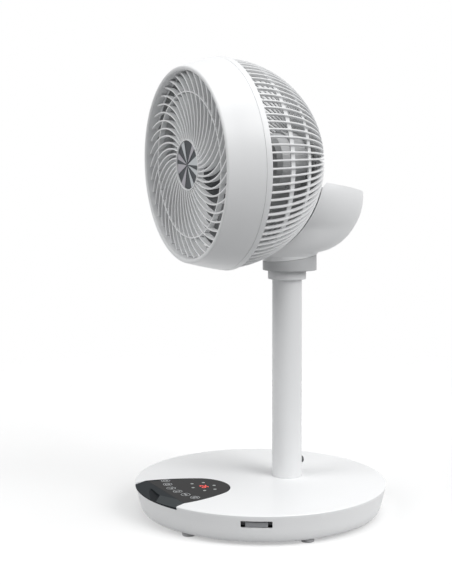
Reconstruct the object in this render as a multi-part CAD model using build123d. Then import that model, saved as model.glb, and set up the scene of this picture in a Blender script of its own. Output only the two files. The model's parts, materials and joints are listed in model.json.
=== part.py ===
from build123d import *
from math import asin, cos, degrees, pi, radians, sin, sqrt
import os

# Air circulator fan on a pole. Lengths are in millimetres.
# The origin is the middle of the base on the floor, +Z is up, and the fan blows towards -Y.

# ---- general fits -------------------------------------------------------------------
seat_gap = 0.3            # between pieces that seat on each other
shaft_gap = 0.05          # radial clearance of a pin or shaft that turns in its bore
button_gap = 0.4          # round a button or slide in its opening

# ---- base ---------------------------------------------------------------------------
base_radius = 180.0       # at the upper rim
base_height = 42.3
base_flare = 8.0          # of the wall, from where it turns under out to the rim
base_wall = 2.5
rim_round = 1.8
base_sides = 60           # flat facets round the base
foot_height = 5.0
foot_radius = 9.0
foot_inset = 14.0         # of the pads' circle, inside the foot of the wall
foot_count = 6
first_foot_angle = 24.0   # from the front, towards +X
plate_thickness = 3.0
weight_radius = 122.0
weight_thickness = 9.0
weight_bore = 24.0
base_screw_inset = 32.0   # of the screws' circle, inside the foot of the wall
base_screw_radius = 2.0

# ---- control panel let into the front of the base --------------------------------------
panel_length = 125.0      # from the rim to the rounded tip
panel_tip_radius = 49.0
panel_half_width = 61.5
panel_band = 30.0         # width of the sloping band in front of the flat top
panel_rim_angle = 24.0    # half the angle of the band at the rim
panel_depth = 9.0
display_setback = 33.0    # of the display, in front of the rounded tip
panel_edge = 1.4          # thickness of the band at the rim
band_drop = 2.7           # fall of the band from the crease to the rim
notch_half_width = 17.0
notch_depth = 1.3
lens_thickness = 1.6
lens_border = 0.8

# ---- remote control and its slot --------------------------------------------------------
slot_angle = 59.4         # from the front, towards +X
slot_width = 41.0
slot_height = 9.4
slot_centre_height = 30.1
sleeve_wall = 1.5
remote_length = 86.0
remote_width = 39.8
remote_thickness = 7.0
remote_corner = 9.0
remote_setback = 2.5      # behind the face of the base's wall
remote_travel = 60.0

# ---- pole -------------------------------------------------------------------------------
pole_radius = 21.6
pole_wall = 2.0
pole_setback = 44.6       # of the pole's axis, behind the base's middle
spigot_wall = 2.8
pole_top = 329.5
spigot_top = 104.0
button_height = 62.8
button_radius = 5.0
button_proud = 5.0
button_flange = 1.6       # round the button's inner end
button_travel = 3.0
inlet_height = 21.0
inlet_bore = 3.2
inlet_depth = 9.0

# ---- collars, swivel and its drive ------------------------------------------------------
lower_collar_radius = 27.9
lower_collar_height = 12.6
upper_collar_radius = 39.4
upper_collar_shift = 4.3  # of its axis, behind the pole's
collar_wall = 2.5
collar_front_height = 12.9
collar_rear_height = 23.9
spindle_radius = 11.8
spindle_wall = 3.2
gear_module = 1.5
gear_teeth = 28
pinion_teeth = 10
gear_width = 5.0
pinion_shaft_radius = 2.5
swivel_motor_radius = 18.0
swivel_motor_height = 14.0

# ---- neck bowl and tilt pivot ----------------------------------------------------------
pivot_rise = 120.5        # of the tilt axis above the pole's top
pivot_shift = 33.0        # of the tilt axis behind the pole's axis
bowl_radius = 83.0
bowl_wall = 2.5
neck_sides = 40           # flat facets round the bowl and its collar
throat_drop = 45.0        # below the pivot, where the front of the throat leaves the ball
neck_drops = (82.0, 74.0, 62.0, throat_drop, 30.0, 15.0, 0.0, -17.0, -33.0)  # of the facets' corners
bowl_rim_rise = 16.8      # of the bowl's rim above the pivot
bowl_rim_fall = 0.155     # of the rim towards the back, per millimetre
tilt_range = 85.0
tilt_steps = 5            # flat runs in the hollow that the turning dome needs
dome_rows = 6             # rows of facets of the dome's ball where it faces the neck
dome_reach = 52.5         # half-angle of that part of the ball
head_gap = 1.1            # between the dome's saddle and the liner
liner_thickness = 1.4
barrel_radius = 13.0
barrel_length = 122.8
ear_thickness = 5.0
ear_gap = 0.6
pin_radius = 5.0
tilt_motor_radius = 8.8

# ---- head --------------------------------------------------------------------------------
dome_radius = 148.7       # over the bars of the rear grille
dome_to_pivot = 152.1
pivot_angle = 17.6        # of the dome's middle above the pivot's level
head_droop = 2.7          # of the fan's axis below the horizontal, towards the front
saddle_thickness = 6.5
saddle_angle = 24.0       # half-angle of the round saddle over the pivot
cap_sides = 30            # flat facets round the saddle and the pole plate
pole_plate_radius = 42.0
rear_bars = 88
ring_sides = 72           # flat facets round the front ring
bar_width = 2.6
bar_depth = 4.5
bar_runs = 5              # flat runs of a bar, not counting the hoops
rear_hoop_width = 7.5
rear_hoop_corners = (1, 2)  # corners of the bars that the hoops lie on, counted from the ring
ring_seam = 6.0           # in front of the dome's middle
ring_seam_radius = 148.0
ring_rear_radius = 152.4
ring_rear_edge = 2.2      # behind the dome's middle
ring_front = 56.0
lip_radius = 133.4
lip_round = 3.8
ring_wall = 2.4
throat_radius = 127.8
throat_depth = 24.0
ring_flange = 12.0
ring_screw_count = 4

# ---- front grille --------------------------------------------------------------------------
grille_front = 49.0       # in front of the dome's middle
vane_count = 42
vane_thickness = 2.0
vane_depth = 9.0
vane_sweep = 40.5         # from the hub ring out to the rim
vane_mid_sweep = 17.6
vane_mid_radius = 78.0
vane_runs = 5
grille_rim = 3.2
mid_hoop_radius = 101.6
mid_hoop_width = 1.7
hub_ring_radius = 35.6
hub_ring_width = 3.4
medallion_rays = 8
ray_height = 1.0

# ---- fan motor and impeller ---------------------------------------------------------------
motor_radius = 41.0
motor_length = 50.0
motor_seat = 126.0        # behind the dome's middle
motor_boss_radius = 30.0
motor_boss_length = 13.0
motor_screw_circle = 22.0
motor_screw_radius = 2.0
shaft_radius = 4.0
hub_radius = 33.0
hub_front = 24.0
hub_back = 30.0
blade_count = 7
blade_radius = 118.0
blade_thickness = 2.2
root_chord = 46.0
tip_chord = 84.0
root_stagger = 46.0       # between the blade and the plane of rotation
tip_stagger = 31.0
blade_camber = 6.0
blade_runs = 4            # flat runs along a blade's chord
blade_rows = 3            # and from its root to its tip

# ---- places worked out from the sizes above ------------------------------------------------
base_foot_radius = base_radius - base_flare
foot_circle = base_foot_radius - foot_inset
base_screw_circle = base_foot_radius - base_screw_inset
panel_tip = base_radius - panel_length
panel_crease = base_radius - panel_band
pole_centre = (0, pole_setback)
collar_bottom = pole_top + lower_collar_height + seat_gap
collar_centre = (0, pole_setback + upper_collar_shift)
floor_bottom = collar_bottom + 2.9
gear_bottom = floor_bottom + 3.5 + 1.5
gear_top = gear_bottom + gear_width
gear_distance = gear_module * (gear_teeth + pinion_teeth) / 2
pinion_centre = (0, pole_setback + gear_distance)
shelf_bottom = gear_top + 13.0
shelf_thickness = 3.0
pivot = Vector(0, pole_setback + pivot_shift, pole_top + pivot_rise)
dome_middle = pivot + Vector(0, -cos(radians(pivot_angle)), sin(radians(pivot_angle))) * dome_to_pivot
head_axis = Vector(0, -cos(radians(head_droop)), -sin(radians(head_droop)))
head_plane = Plane(origin=dome_middle, x_dir=(1, 0, 0), z_dir=head_axis)
head_place = Location(head_plane)
slot_place = Location((0, 0, slot_centre_height), (0, 0, slot_angle - 90))
saddle_outer = dome_radius + 0.8
saddle_inner = saddle_outer - saddle_thickness
liner_inner = saddle_outer + head_gap
liner_outer = liner_inner + liner_thickness
yoke_outer = saddle_inner - seat_gap
yoke_thickness = 3.2
ear_inner = barrel_length / 2 + ear_gap
plate_bottom = foot_height - 0.5
plate_top = plate_bottom + plate_thickness
weight_top = plate_top + seat_gap + weight_thickness


def disc(radius, low, high, centre=(0, 0)):
    """Round bar on a vertical axis, from one height to another."""
    return Pos(centre[0], centre[1], (low + high) / 2) * Cylinder(radius, high - low)


def washer(outer, inner, low, high, centre=(0, 0)):
    """Ring of rectangular section on a vertical axis."""
    return disc(outer, low, high, centre) - disc(inner, low - 1, high + 1, centre)


def prism(radius, sides, low, high, centre=(0, 0)):
    """Upright bar with a regular polygon for its section, for small hidden pieces."""
    return Pos(centre[0], centre[1], low) * extrude(RegularPolygon(radius, sides), high - low)


def ring(radius, height, sides, centre=(0, 0)):
    """Corners of a level regular polygon."""
    steps = [2 * pi * index / sides for index in range(sides)]
    return [Vector(centre[0] + radius * cos(step), centre[1] + radius * sin(step), height) for step in steps]


def facets(corners):
    """Flat faces on up to four corners: one where they lie in a plane, else two."""
    loop = [corner for index, corner in enumerate(corners) if (corner - corners[index - 1]).length > 1e-6]
    if len(loop) < 3:
        return []
    normal = (loop[1] - loop[0]).cross(loop[2] - loop[0]).normalized()
    if abs((loop[-1] - loop[0]).dot(normal)) < 1e-6:
        return [Face(Wire.make_polygon(loop))]
    return [Face(Wire.make_polygon(loop[:3])), Face(Wire.make_polygon([loop[0], loop[2], loop[3]]))]


def skinned(rings, capped=True):
    """Solid with flat faces between its rings' corners, capped at the ends or closed into itself."""
    following = rings[1:] if capped else rings[1:] + rings[:1]
    faces = []
    for near, far in zip(rings, following):
        for index in range(len(near)):
            faces += facets([near[index - 1], near[index], far[index], far[index - 1]])
    for end in (rings[0], rings[-1]) if capped else ():
        for index in range(1, len(end) // 2):
            faces += facets([end[index - 1], end[index], end[-1 - index], end[-index]])
    solid = Solid(Shell(faces))
    return solid if solid.volume > 0 else -solid


def turned(points, sides):
    """Outline of (radius, height) points turned round Z in flat facets, to keep the mesh light."""
    return skinned([ring(radius, height, sides) for radius, height in points], capped=False)


def tube(outer, inner, sides, low, high, centre=(0, 0)):
    """Ring of rectangular section round a vertical axis, in flat facets."""
    return Pos(centre[0], centre[1], 0) * turned([(inner, low), (outer, low), (outer, high), (inner, high)], sides)


def around(piece, count, first=0.0):
    """Copies of a piece, evenly spaced round Z."""
    return [Rot(0, 0, first + 360 * index / count) * piece for index in range(count)]


def front_angle(angle, radius):
    """Point at an angle from the front, towards +X."""
    return radius * sin(radians(angle)), -radius * cos(radians(angle))


def in_head_up(direction):
    """Direction of a point of the head's frame, given in the part's frame."""
    return Vector(direction.dot(head_plane.x_dir), direction.dot(head_plane.y_dir),
                  direction.dot(head_plane.z_dir))


# ---- base -----------------------------------------------------------------------------------
def panel_outline(gap):
    """Leaf-shaped outline of the control panel, grown all round by a gap."""
    rim_x, rim_y = front_angle(panel_rim_angle, base_radius + 3)
    join_x = panel_tip_radius * 0.815 + gap
    tip_y = -(panel_tip - gap)
    reach = panel_tip_radius + gap
    join_y = tip_y - (reach - sqrt(reach ** 2 - join_x ** 2))
    half = panel_half_width + gap
    side_mid = ((join_x + half) / 2 + 4.2, (join_y - panel_crease) / 2)
    curve = Curve()
    curve += ThreePointArc((-join_x, join_y), (0, tip_y), (join_x, join_y))
    curve += ThreePointArc((join_x, join_y), side_mid, (half, -panel_crease))
    curve += Polyline((half, -panel_crease), (rim_x + gap, rim_y), (rim_x + gap, -base_radius - 9),
                      (-rim_x - gap, -base_radius - 9), (-rim_x - gap, rim_y), (-half, -panel_crease))
    curve += ThreePointArc((-half, -panel_crease), (-side_mid[0], side_mid[1]), (-join_x, join_y))
    return make_face(curve)


def panel_block(gap, low, high):
    """Upright block with the panel's outline."""
    return extrude(Pos(0, 0, low) * panel_outline(gap), high - low)


def base_form(inset, low, high):
    """The base's round flared body, drawn in from its outside by a wall's thickness."""
    rim = base_radius - inset
    foot = base_foot_radius - inset
    return turned([(0, low), (foot - 6, low), (foot, low + 5), (rim - 5, 25), (rim, high - rim_round),
                   (rim - rim_round, high), (0, high)], base_sides)


def base_cover():
    """Upper shell of the base: round lid and flared wall, with its openings."""
    inside = base_form(base_wall, plate_bottom - 5, base_height - base_wall)
    cover = base_form(0, plate_bottom, base_height) - inside
    cover -= disc(pole_radius + seat_gap, base_height - 9, base_height + 1, pole_centre)
    cover -= panel_block(seat_gap, base_height - band_drop - panel_edge - seat_gap, base_height + 1)
    slot = Pos(base_radius - 20, 0, 0) * Box(60, slot_width, slot_height)
    cover -= slot_place * slot
    cover -= Pos(0, base_foot_radius, inlet_height) * Box(14 + 2 * seat_gap, 30, 11 + 2 * seat_gap)
    return cover


def base_plate():
    """Flat floor of the base, inside the foot of the wall."""
    plate = prism(base_foot_radius - 6 - base_wall, base_sides, plate_bottom, plate_top)
    for x, y in screw_points():
        plate -= prism(base_screw_radius + 0.3, 8, 0, 20, (x, y))
    return plate


def screw_points():
    """Places of the screws that hold the base together."""
    return [front_angle(30 + angle * 60, base_screw_circle) for angle in range(6)]


def base_screws():
    """Screws from under the plate up into the cover's posts."""
    screws = []
    for x, y in screw_points():
        head = prism(base_screw_radius * 2, 8, plate_bottom - 2.2, plate_bottom - 0.1, (x, y))
        shank = prism(base_screw_radius, 8, plate_bottom - 0.2, plate_top + 12, (x, y))
        screws.append(head + shank)
    return screws


def cover_posts():
    """Posts under the lid that the base screws bite into."""
    posts = []
    for x, y in screw_points():
        post = prism(base_screw_radius * 2.4, 8, plate_top + seat_gap, base_height - base_wall + 0.5, (x, y))
        posts.append(post - prism(base_screw_radius + shaft_gap, 8, 0, plate_top + 12.4, (x, y)))
    return posts


def base_weight():
    """Cast ballast ring that keeps the fan from tipping."""
    return tube(weight_radius, weight_bore, 60, plate_top + seat_gap, weight_top)


def rubber_feet():
    """Round pads under the base."""
    foot = turned([(0, 0), (foot_radius - 1, 0), (foot_radius, 1), (foot_radius, plate_bottom - 0.1),
                   (0, plate_bottom - 0.1)], 16)
    x, y = front_angle(first_foot_angle, foot_circle)
    return around(Pos(x, y, 0) * foot, foot_count)


def band_face():
    """Everything above the sloping band in front of the panel's crease."""
    low = base_height - 2 * band_drop
    front = -panel_crease - 2 * panel_band
    side = make_face(Polyline([(0, -panel_crease, base_height), (0, front, low), (0, front, 2 * base_height),
                               (0, -panel_crease, 2 * base_height)], close=True))
    return extrude(side, base_radius, dir=(1, 0, 0), both=True)


def panel_housing():
    """Dark tray of the control panel, with its sloping front band and finger notch."""
    low = base_height - band_drop - panel_edge
    housing = panel_block(0, low, base_height) & disc(base_radius, 0, base_height + 9)
    tray = panel_block(-5, base_height - panel_depth, low + 0.5) & disc(base_radius - 10, 0, base_height)
    housing = housing + tray - band_face()
    floor = base_height - band_drop * 0.55 - notch_depth
    notch = Pos(0, -base_radius, floor + 10) * Box(2 * notch_half_width, 26, 20)
    housing -= notch
    lens_bed = base_height - lens_thickness
    housing -= panel_block(-lens_border, lens_bed, base_height + 1) & front_box(panel_crease)
    board_room = panel_block(-9, base_height - panel_depth + 2, lens_bed + 1)
    housing -= board_room & front_box(panel_crease - 8)
    return housing


def front_box(reach):
    """Everything behind an upright plane in front of the base's middle."""
    return Pos(0, base_radius - reach, base_height) * Box(2 * base_radius, 2 * base_radius, 2 * base_height)


def panel_lens():
    """Glossy cover over the lit display and the touch keys."""
    low = base_height - lens_thickness + seat_gap
    lens = panel_block(-lens_border - seat_gap, low, base_height)
    return lens & front_box(panel_crease - seat_gap)


def control_board():
    """Circuit board under the lens."""
    low = base_height - panel_depth + 2 + seat_gap
    board = panel_block(-10, low, low + 1.6)
    return board & front_box(panel_crease - 9)


def display_module():
    """Two-digit display and six lamps on the board."""
    low = base_height - panel_depth + 2 + seat_gap + 1.6
    middle = -panel_tip - display_setback
    module = Pos(2, middle, low + 1.7) * Box(20, 10, 3.4)
    lamp = prism(1.5, 8, low, low + 2.4)
    lamps = [Pos(2 + 23 * cos(radians(a)), middle + 14 * sin(radians(a)), 0) * lamp
             for a in range(0, 360, 60)]
    return [module] + lamps


def remote_sleeve():
    """Five-sided pocket behind the slot that holds the remote control."""
    inner = remote_length + remote_setback + 1.0
    outer = Box(inner + sleeve_wall, slot_width + 2 * sleeve_wall, slot_height + 2 * sleeve_wall)
    sleeve = Pos(-sleeve_wall / 2, 0, 0) * outer - Pos(sleeve_wall, 0, 0) * Box(
        inner + 2 * sleeve_wall, slot_width, slot_height)
    front = sqrt((base_radius - 8.2) ** 2 - (slot_width / 2 + sleeve_wall) ** 2)
    return slot_place * (Pos(front - inner / 2, 0, 0) * sleeve)


def remote_front():
    """Distance from the base's middle to the remote's outer end."""
    return base_radius - 3.6 - remote_setback


def remote_control():
    """Flat card-like remote control, lying in its slot."""
    body = RectangleRounded(remote_length, remote_width, remote_corner)
    body = extrude(body, remote_thickness)
    low = -slot_height / 2 + button_gap
    return slot_place * (Pos(remote_front() - remote_length / 2, 0, low) * body)


def remote_keys():
    """Low rubber keys on the remote's upper face."""
    low = -slot_height / 2 + button_gap + remote_thickness
    key = prism(4.2, 12, low, low + 0.8)
    keys = [Pos(remote_front() - 18 - 13 * row, side * 9, 0) * key
            for row in range(3) for side in (-1, 1)]
    return [slot_place * item for item in keys]


def dc_inlet():
    """Low-voltage power socket in the back of the base."""
    back = base_foot_radius + 0.6
    body = Pos(0, back - 8, inlet_height) * Box(14, 16, 11)
    bore = Pos(0, back - inlet_depth / 2, inlet_height) * Rot(90, 0, 0) * Cylinder(inlet_bore, inlet_depth)
    return body - bore


# ---- pole -----------------------------------------------------------------------------------
def button_bore(radius):
    """Bar along the pole button's axis, through the back of the pole."""
    return Pos(0, pole_setback + pole_radius - 8, button_height) * Rot(-90, 0, 0) * prism(radius, 20, 0, 16)


def column_spigot():
    """Foot bolted into the base that the pole slides over."""
    outer = pole_radius - pole_wall - seat_gap
    low = weight_top + seat_gap
    foot = Pos(0, pole_setback, 0) * turned(
        [(outer - spigot_wall, low), (42, low), (42, low + 3.7), (outer, low + 3.7), (outer, spigot_top),
         (outer - spigot_wall, spigot_top)], 40)
    return foot - button_bore(button_radius + button_gap)


def column_tube():
    """The pole."""
    pole = washer(pole_radius, pole_radius - pole_wall, weight_top + 4 + seat_gap,
                  pole_top - seat_gap, pole_centre)
    return pole - button_bore(button_radius + button_gap)


def flange_place():
    """Distance from the pole's axis to the outer face of the button's flange."""
    inside = pole_radius - pole_wall - seat_gap - spigot_wall
    return sqrt(inside ** 2 - (button_radius + button_flange) ** 2) - seat_gap


def pole_button():
    """Button that locks the pole on its foot and is pushed in to lift the pole off."""
    outer_end = pole_radius + button_proud
    back = flange_place() - 2
    outline = [(0, back), (button_radius + button_flange, back), (button_radius + button_flange, back + 2),
               (button_radius, back + 2), (button_radius, outer_end - 1.2), (button_radius - 1.2, outer_end),
               (0, outer_end)]
    return Pos(0, pole_setback, button_height) * Rot(-90, 0, 0) * turned(outline, 20)


def snap_spring():
    """Spring-steel leaf inside the pole's foot that pushes the button out."""
    back = pole_setback + flange_place() - 2 - seat_gap
    leaf = Pos(0, back - 0.4, button_height + 8) * Box(9, 0.8, 34)
    hook = Pos(0, back - 2.8, button_height + 24.6) * Box(9, 5.6, 0.8)
    return leaf + hook


def lower_collar():
    """Fixed collar on top of the pole, with the plug that fits inside it."""
    plug = pole_radius - pole_wall - seat_gap
    high = pole_top + lower_collar_height
    collar = turned([(0, pole_top - 22), (plug, pole_top - 22), (plug, pole_top),
                     (lower_collar_radius - 1.2, pole_top), (lower_collar_radius, pole_top + 1.2),
                     (lower_collar_radius, high), (0, high)], 40)
    return Pos(0, pole_setback, 0) * collar - disc(spindle_radius + shaft_gap, 0, high + 9, pole_centre)


def swivel_spindle():
    """Hollow spindle, fixed in the collar, that the neck turns on; the wires run through it."""
    low = pole_top - 26
    spindle = disc(spindle_radius, low, gear_top + 5, pole_centre)
    spindle += prism(spindle_radius + 4, 24, low, pole_top - 22 - seat_gap, pole_centre)
    return spindle - prism(spindle_radius - spindle_wall, 20, low - 1, gear_top + 9, pole_centre)


def spindle_ring():
    """Retaining ring that keeps the gear on the spindle."""
    ring_inside = prism(spindle_radius + seat_gap, 24, gear_top, gear_top + 9, pole_centre)
    return prism(spindle_radius + 4, 24, gear_top + seat_gap, gear_top + 2.3, pole_centre) - ring_inside


def spur_gear(teeth, bore, low):
    """Straight-flanked spur gear at the gear train's module."""
    root = gear_module * (teeth / 2 - 1.25)
    tip = gear_module * (teeth / 2 + 0.8)
    foot_half = gear_module * 0.92
    tip_half = gear_module * 0.34
    tooth = make_face(Polyline([(root - 0.6, -foot_half), (tip, -tip_half), (tip, tip_half),
                                (root - 0.6, foot_half)], close=True))
    blank = RegularPolygon(root, 2 * teeth)
    for copy in around(tooth, teeth):
        blank += copy
    if bore:
        blank -= RegularPolygon(bore, 24)
    return extrude(Pos(0, 0, low) * blank, gear_width)


def swivel_gear():
    """Gear keyed to the spindle, which the swivel motor's pinion rolls round."""
    gear = spur_gear(gear_teeth, spindle_radius + seat_gap, gear_bottom)
    return Pos(*pole_centre, 0) * Rot(0, 0, 90) * gear


def swivel_pinion():
    """Pinion on the swivel motor's shaft, with a gap facing the fixed gear's tooth."""
    pinion = Rot(0, 0, 90 + 180 / pinion_teeth) * spur_gear(pinion_teeth, 0, gear_bottom)
    shaft = disc(pinion_shaft_radius, gear_bottom, shelf_bottom + shelf_thickness + 9)
    return Pos(*pinion_centre, 0) * (pinion + shaft)


# ---- neck -----------------------------------------------------------------------------------
def collar_slope(lift):
    """Sloping plane between the upper collar and the bowl."""
    rise = (collar_rear_height - collar_front_height) / (2 * upper_collar_radius)
    front = collar_centre[1] - upper_collar_radius
    return Plane(origin=(0, front, collar_bottom + collar_front_height + lift), z_dir=(0, -rise, 1))


def upper_collar():
    """Turning collar under the bowl, with the floor that rides on the spindle."""
    wall = upper_collar_radius - collar_wall
    collar = turned([(wall, collar_bottom), (upper_collar_radius, collar_bottom),
                     (upper_collar_radius, collar_bottom + collar_rear_height + 4),
                     (wall, collar_bottom + collar_rear_height + 4), (wall, floor_bottom + 3.5),
                     (0, floor_bottom + 3.5), (0, floor_bottom), (wall, floor_bottom)], neck_sides)
    collar = split(Pos(*collar_centre, 0) * collar, bisect_by=collar_slope(0), keep=Keep.BOTTOM)
    return collar - disc(spindle_radius + shaft_gap, pole_top, pivot.Z, pole_centre)


def swivel_washer():
    """Low-friction washer between the fixed and the turning collar."""
    return tube(lower_collar_radius - 2, spindle_radius + 0.6, 32, collar_bottom,
                floor_bottom - seat_gap, pole_centre)


def neck_form(inset):
    """The bowl's ball shape with the throat that leads down to the collar, less a wall."""
    rings = [ring(upper_collar_radius - 0.8 - inset, collar_bottom + 6, neck_sides, collar_centre)]
    throat_front = sqrt(bowl_radius ** 2 - throat_drop ** 2)
    for drop in neck_drops:
        back = sqrt(bowl_radius ** 2 - drop ** 2)
        front = throat_front if drop > throat_drop else back
        middle = (0, pivot.Y + (back - front) / 2)
        rings.append(ring((back + front) / 2 - inset, pivot.Z - drop, neck_sides, middle))
    return skinned(rings)


def below_rim(piece):
    """Cuts a piece off at the bowl's sloping rim."""
    rim = Plane(origin=pivot + Vector(0, 0, bowl_rim_rise), z_dir=(0, bowl_rim_fall, 1))
    return split(piece, bisect_by=rim, keep=Keep.BOTTOM)


def out_of_pivot(tilt):
    """Direction from the tilt axis to the dome's middle with the head tilted back by an angle."""
    angle = radians(pivot_angle + tilt)
    return Vector(0, -cos(angle), sin(angle))


def dome_outline(radius):
    """Points (across, forwards) on a ball, from the edge of the neck's reach to the ball's nearest point."""
    angles = [radians(dome_reach * (dome_rows - row) / dome_rows) for row in range(dome_rows + 1)]
    return [(radius * sin(angle), radius * cos(angle)) for angle in angles]


def dome_ball(radius, tilt):
    """The part of a ball round the dome's middle that faces the tilt axis, in flat facets."""
    middle = pivot + out_of_pivot(tilt) * dome_to_pivot
    place = Location(Plane(origin=middle, x_dir=(1, 0, 0), z_dir=-out_of_pivot(tilt)))
    return place * turned([(0, 0)] + dome_outline(radius), neck_sides)


def dome_sweep(radius):
    """What that ball sweeps through between its two end places."""
    side = dome_outline(radius)
    outline = side + [(-across, reach) for across, reach in reversed(side[:-1])] + [(0, 0)]
    rings = []
    for step in range(tilt_steps + 1):
        out = out_of_pivot(tilt_range * step / tilt_steps)
        rings.append([pivot + Vector(across, 0, 0) + out * (dome_to_pivot - reach) for across, reach in outline])
    return skinned(rings)


def clear_of_dome(piece, radius):
    """Cuts away all that a ball of this radius in the head sweeps through as it tilts."""
    return piece - dome_sweep(radius) - dome_ball(radius, 0) - dome_ball(radius, tilt_range)


def neck_bowl():
    """Moulded bowl that cradles the dome and hides the tilt mechanism."""
    shell = neck_form(0) - neck_form(bowl_wall)
    shelf = prism(90, neck_sides, shelf_bottom, shelf_bottom + shelf_thickness, (0, pivot.Y))
    shelf = shelf & neck_form(bowl_wall - 0.5)
    shelf -= prism(spindle_radius + 6, 20, shelf_bottom - 1, shelf_bottom + 9, pole_centre)
    shelf -= prism(4, 12, shelf_bottom - 1, shelf_bottom + 9, pinion_centre)
    shelf -= dome_ball(liner_outer + seat_gap, 0)
    shell = below_rim(clear_of_dome(shell, liner_inner) + shelf)
    return split(shell, bisect_by=collar_slope(seat_gap), keep=Keep.TOP)


def cradle_liner():
    """Dished cover inside the bowl that follows the dome and closes off the mechanism."""
    room = below_rim(neck_form(bowl_wall + seat_gap))
    liner = clear_of_dome(room, liner_inner) - clear_of_dome(room, liner_outer)
    liner -= pivot_bar(barrel_radius + 1.5, barrel_length + 1.2)
    side = ear_inner + ear_thickness / 2
    for x in (-side, side):
        liner -= Pos(x, pivot.Y, pivot.Z) * Box(ear_thickness + 1, 30, 34)
    return liner


def pivot_bar(radius, length, middle=0.0):
    """Bar along the tilt axis, in flat facets."""
    return Pos(middle, pivot.Y, pivot.Z) * Rot(0, 90, 0) * prism(radius, 24, -length / 2, length / 2)


def pivot_round(radius, length, middle=0.0):
    """Truly round bar along the tilt axis, for what turns."""
    return Pos(middle, pivot.Y, pivot.Z) * Rot(0, 90, 0) * Cylinder(radius, length)


def pivot_bracket():
    """Steel cradle in the bowl with the two ears that carry the tilt pivot."""
    span = ear_inner + ear_thickness
    bar_top = pivot.Z - sqrt((bowl_radius - bowl_wall - seat_gap - 1) ** 2 - span ** 2)
    leg_low = shelf_bottom + shelf_thickness + seat_gap
    bracket = Pos(0, pivot.Y + 4, bar_top - 2) * Box(2 * span, 24, 4)
    ear_height = pivot.Z - bar_top
    for side in (-1, 1):
        x = side * (ear_inner + ear_thickness / 2)
        bracket += Pos(x, pivot.Y, bar_top + ear_height / 2) * Box(ear_thickness, 22, ear_height)
        bracket += pivot_bar(barrel_radius, ear_thickness, x)
        bracket += Pos(side * span * 0.45, pivot.Y + 4, (leg_low + bar_top) / 2) * Box(8, 20, bar_top - leg_low)
    bracket &= neck_form(bowl_wall + seat_gap)
    bracket -= disc(2 * bowl_radius, pole_top, leg_low, pole_centre)
    return bracket - pivot_bar(pin_radius + 2 + shaft_gap, 300)


def pivot_bushes():
    """Plastic bushes pressed into the ears."""
    bushes = []
    for side in (-1, 1):
        x = side * (ear_inner + ear_thickness / 2)
        bush = pivot_bar(pin_radius + 2, ear_thickness + 0.4, x)
        bushes.append(bush - pivot_round(pin_radius + shaft_gap, 20, x))
    return bushes


def swivel_motor():
    """Small geared motor that turns the neck from side to side."""
    low = shelf_bottom + shelf_thickness + seat_gap
    motor = prism(swivel_motor_radius, 24, low, low + swivel_motor_height, pinion_centre)
    motor += Pos(*pinion_centre, low + 1) * Box(2 * swivel_motor_radius + 12, 8, 2)
    return motor - disc(pinion_shaft_radius + shaft_gap, low - 1, low + 10, pinion_centre)


# ---- head, built on its own axis: +Z forward, +Y up ------------------------------------------
def front_ring():
    """Deep white ring round the front of the head, with its rounded lip and inner throat."""
    slope = (ring_seam_radius - lip_radius - lip_round) / (ring_front - lip_round - ring_seam - seat_gap)
    lip_z = ring_front - lip_round
    rear = ring_seam + seat_gap
    outer = lip_radius + lip_round
    inner = lip_radius - lip_round
    hoop = turned([(ring_seam_radius, rear), (outer, lip_z), (lip_radius + lip_round * 0.55, ring_front - 0.7),
                   (lip_radius - lip_round * 0.4, ring_front), (inner, lip_z), (throat_radius, lip_z - 3),
                   (throat_radius, lip_z - throat_depth), (throat_radius + ring_wall, lip_z - throat_depth),
                   (throat_radius + ring_wall, lip_z - 4), (outer - ring_wall, lip_z - 2),
                   (ring_seam_radius - ring_wall, rear)], ring_sides)
    boss_radius = ring_screw_circle()
    boss = prism(4.0, 12, rear, rear + 16, (boss_radius, 0))
    boss &= turned([(0, 0), (ring_seam_radius - 1, 0), (ring_seam_radius - 1 - slope * 40, 40), (0, 40)],
                   ring_sides)
    hole = prism(1.6, 8, rear - 1, rear + 13, (boss_radius, 0))
    hoop += around(boss, ring_screw_count, 45)
    for copy in around(hole, ring_screw_count, 45):
        hoop -= copy
    return hoop


def ring_screw_circle():
    """Radius of the circle of screws that join the front ring to the rear shell."""
    return ring_seam_radius - ring_wall - 6.0


def ring_screws():
    """Screws through the rear shell's flange into the front ring."""
    flange_back = ring_seam - 2.7
    screw = prism(3.0, 8, flange_back - 2.4, flange_back - 0.2) + prism(1.5, 8, flange_back - 0.5, flange_back + 10.5)
    screw = Pos(ring_screw_circle(), 0, 0) * screw
    return [head_place * copy for copy in around(screw, ring_screw_count, 45)]


def cap(direction, half_angle, outer, inner):
    """Round patch of a ball's skin, centred on a direction of the head's frame."""
    angles = [radians(half_angle * row / 3) for row in range(4)]
    skin = [(outer * sin(angle), outer * cos(angle)) for angle in angles]
    skin += [(inner * sin(angle), inner * cos(angle)) for angle in reversed(angles)]
    return Location(Plane(origin=(0, 0, 0), z_dir=direction)) * turned(skin, cap_sides)


def pivot_in_head():
    """The tilt pivot's place in the head's frame."""
    return in_head_up(pivot - dome_middle)


def pivot_bar_in_head(radius, length, middle=0.0):
    """Bar along the tilt axis, in the head's frame."""
    return Pos(*pivot_in_head()) * Pos(middle, 0, 0) * Rot(0, 90, 0) * prism(radius, 24, -length / 2, length / 2)


def bar_angle(corner):
    """Angle of a bar's corner behind the dome's widest circle."""
    start = asin(ring_rear_edge / dome_radius)
    end = pi / 2 - asin((pole_plate_radius - 3) / dome_radius)
    return start + (end - start) * corner / bar_runs


def hoop_angles(corner):
    """Angles of the two edges of the hoop that lies on a bar's corner."""
    half = rear_hoop_width / 2 / dome_radius
    return [bar_angle(corner) - half, bar_angle(corner) + half]


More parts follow.
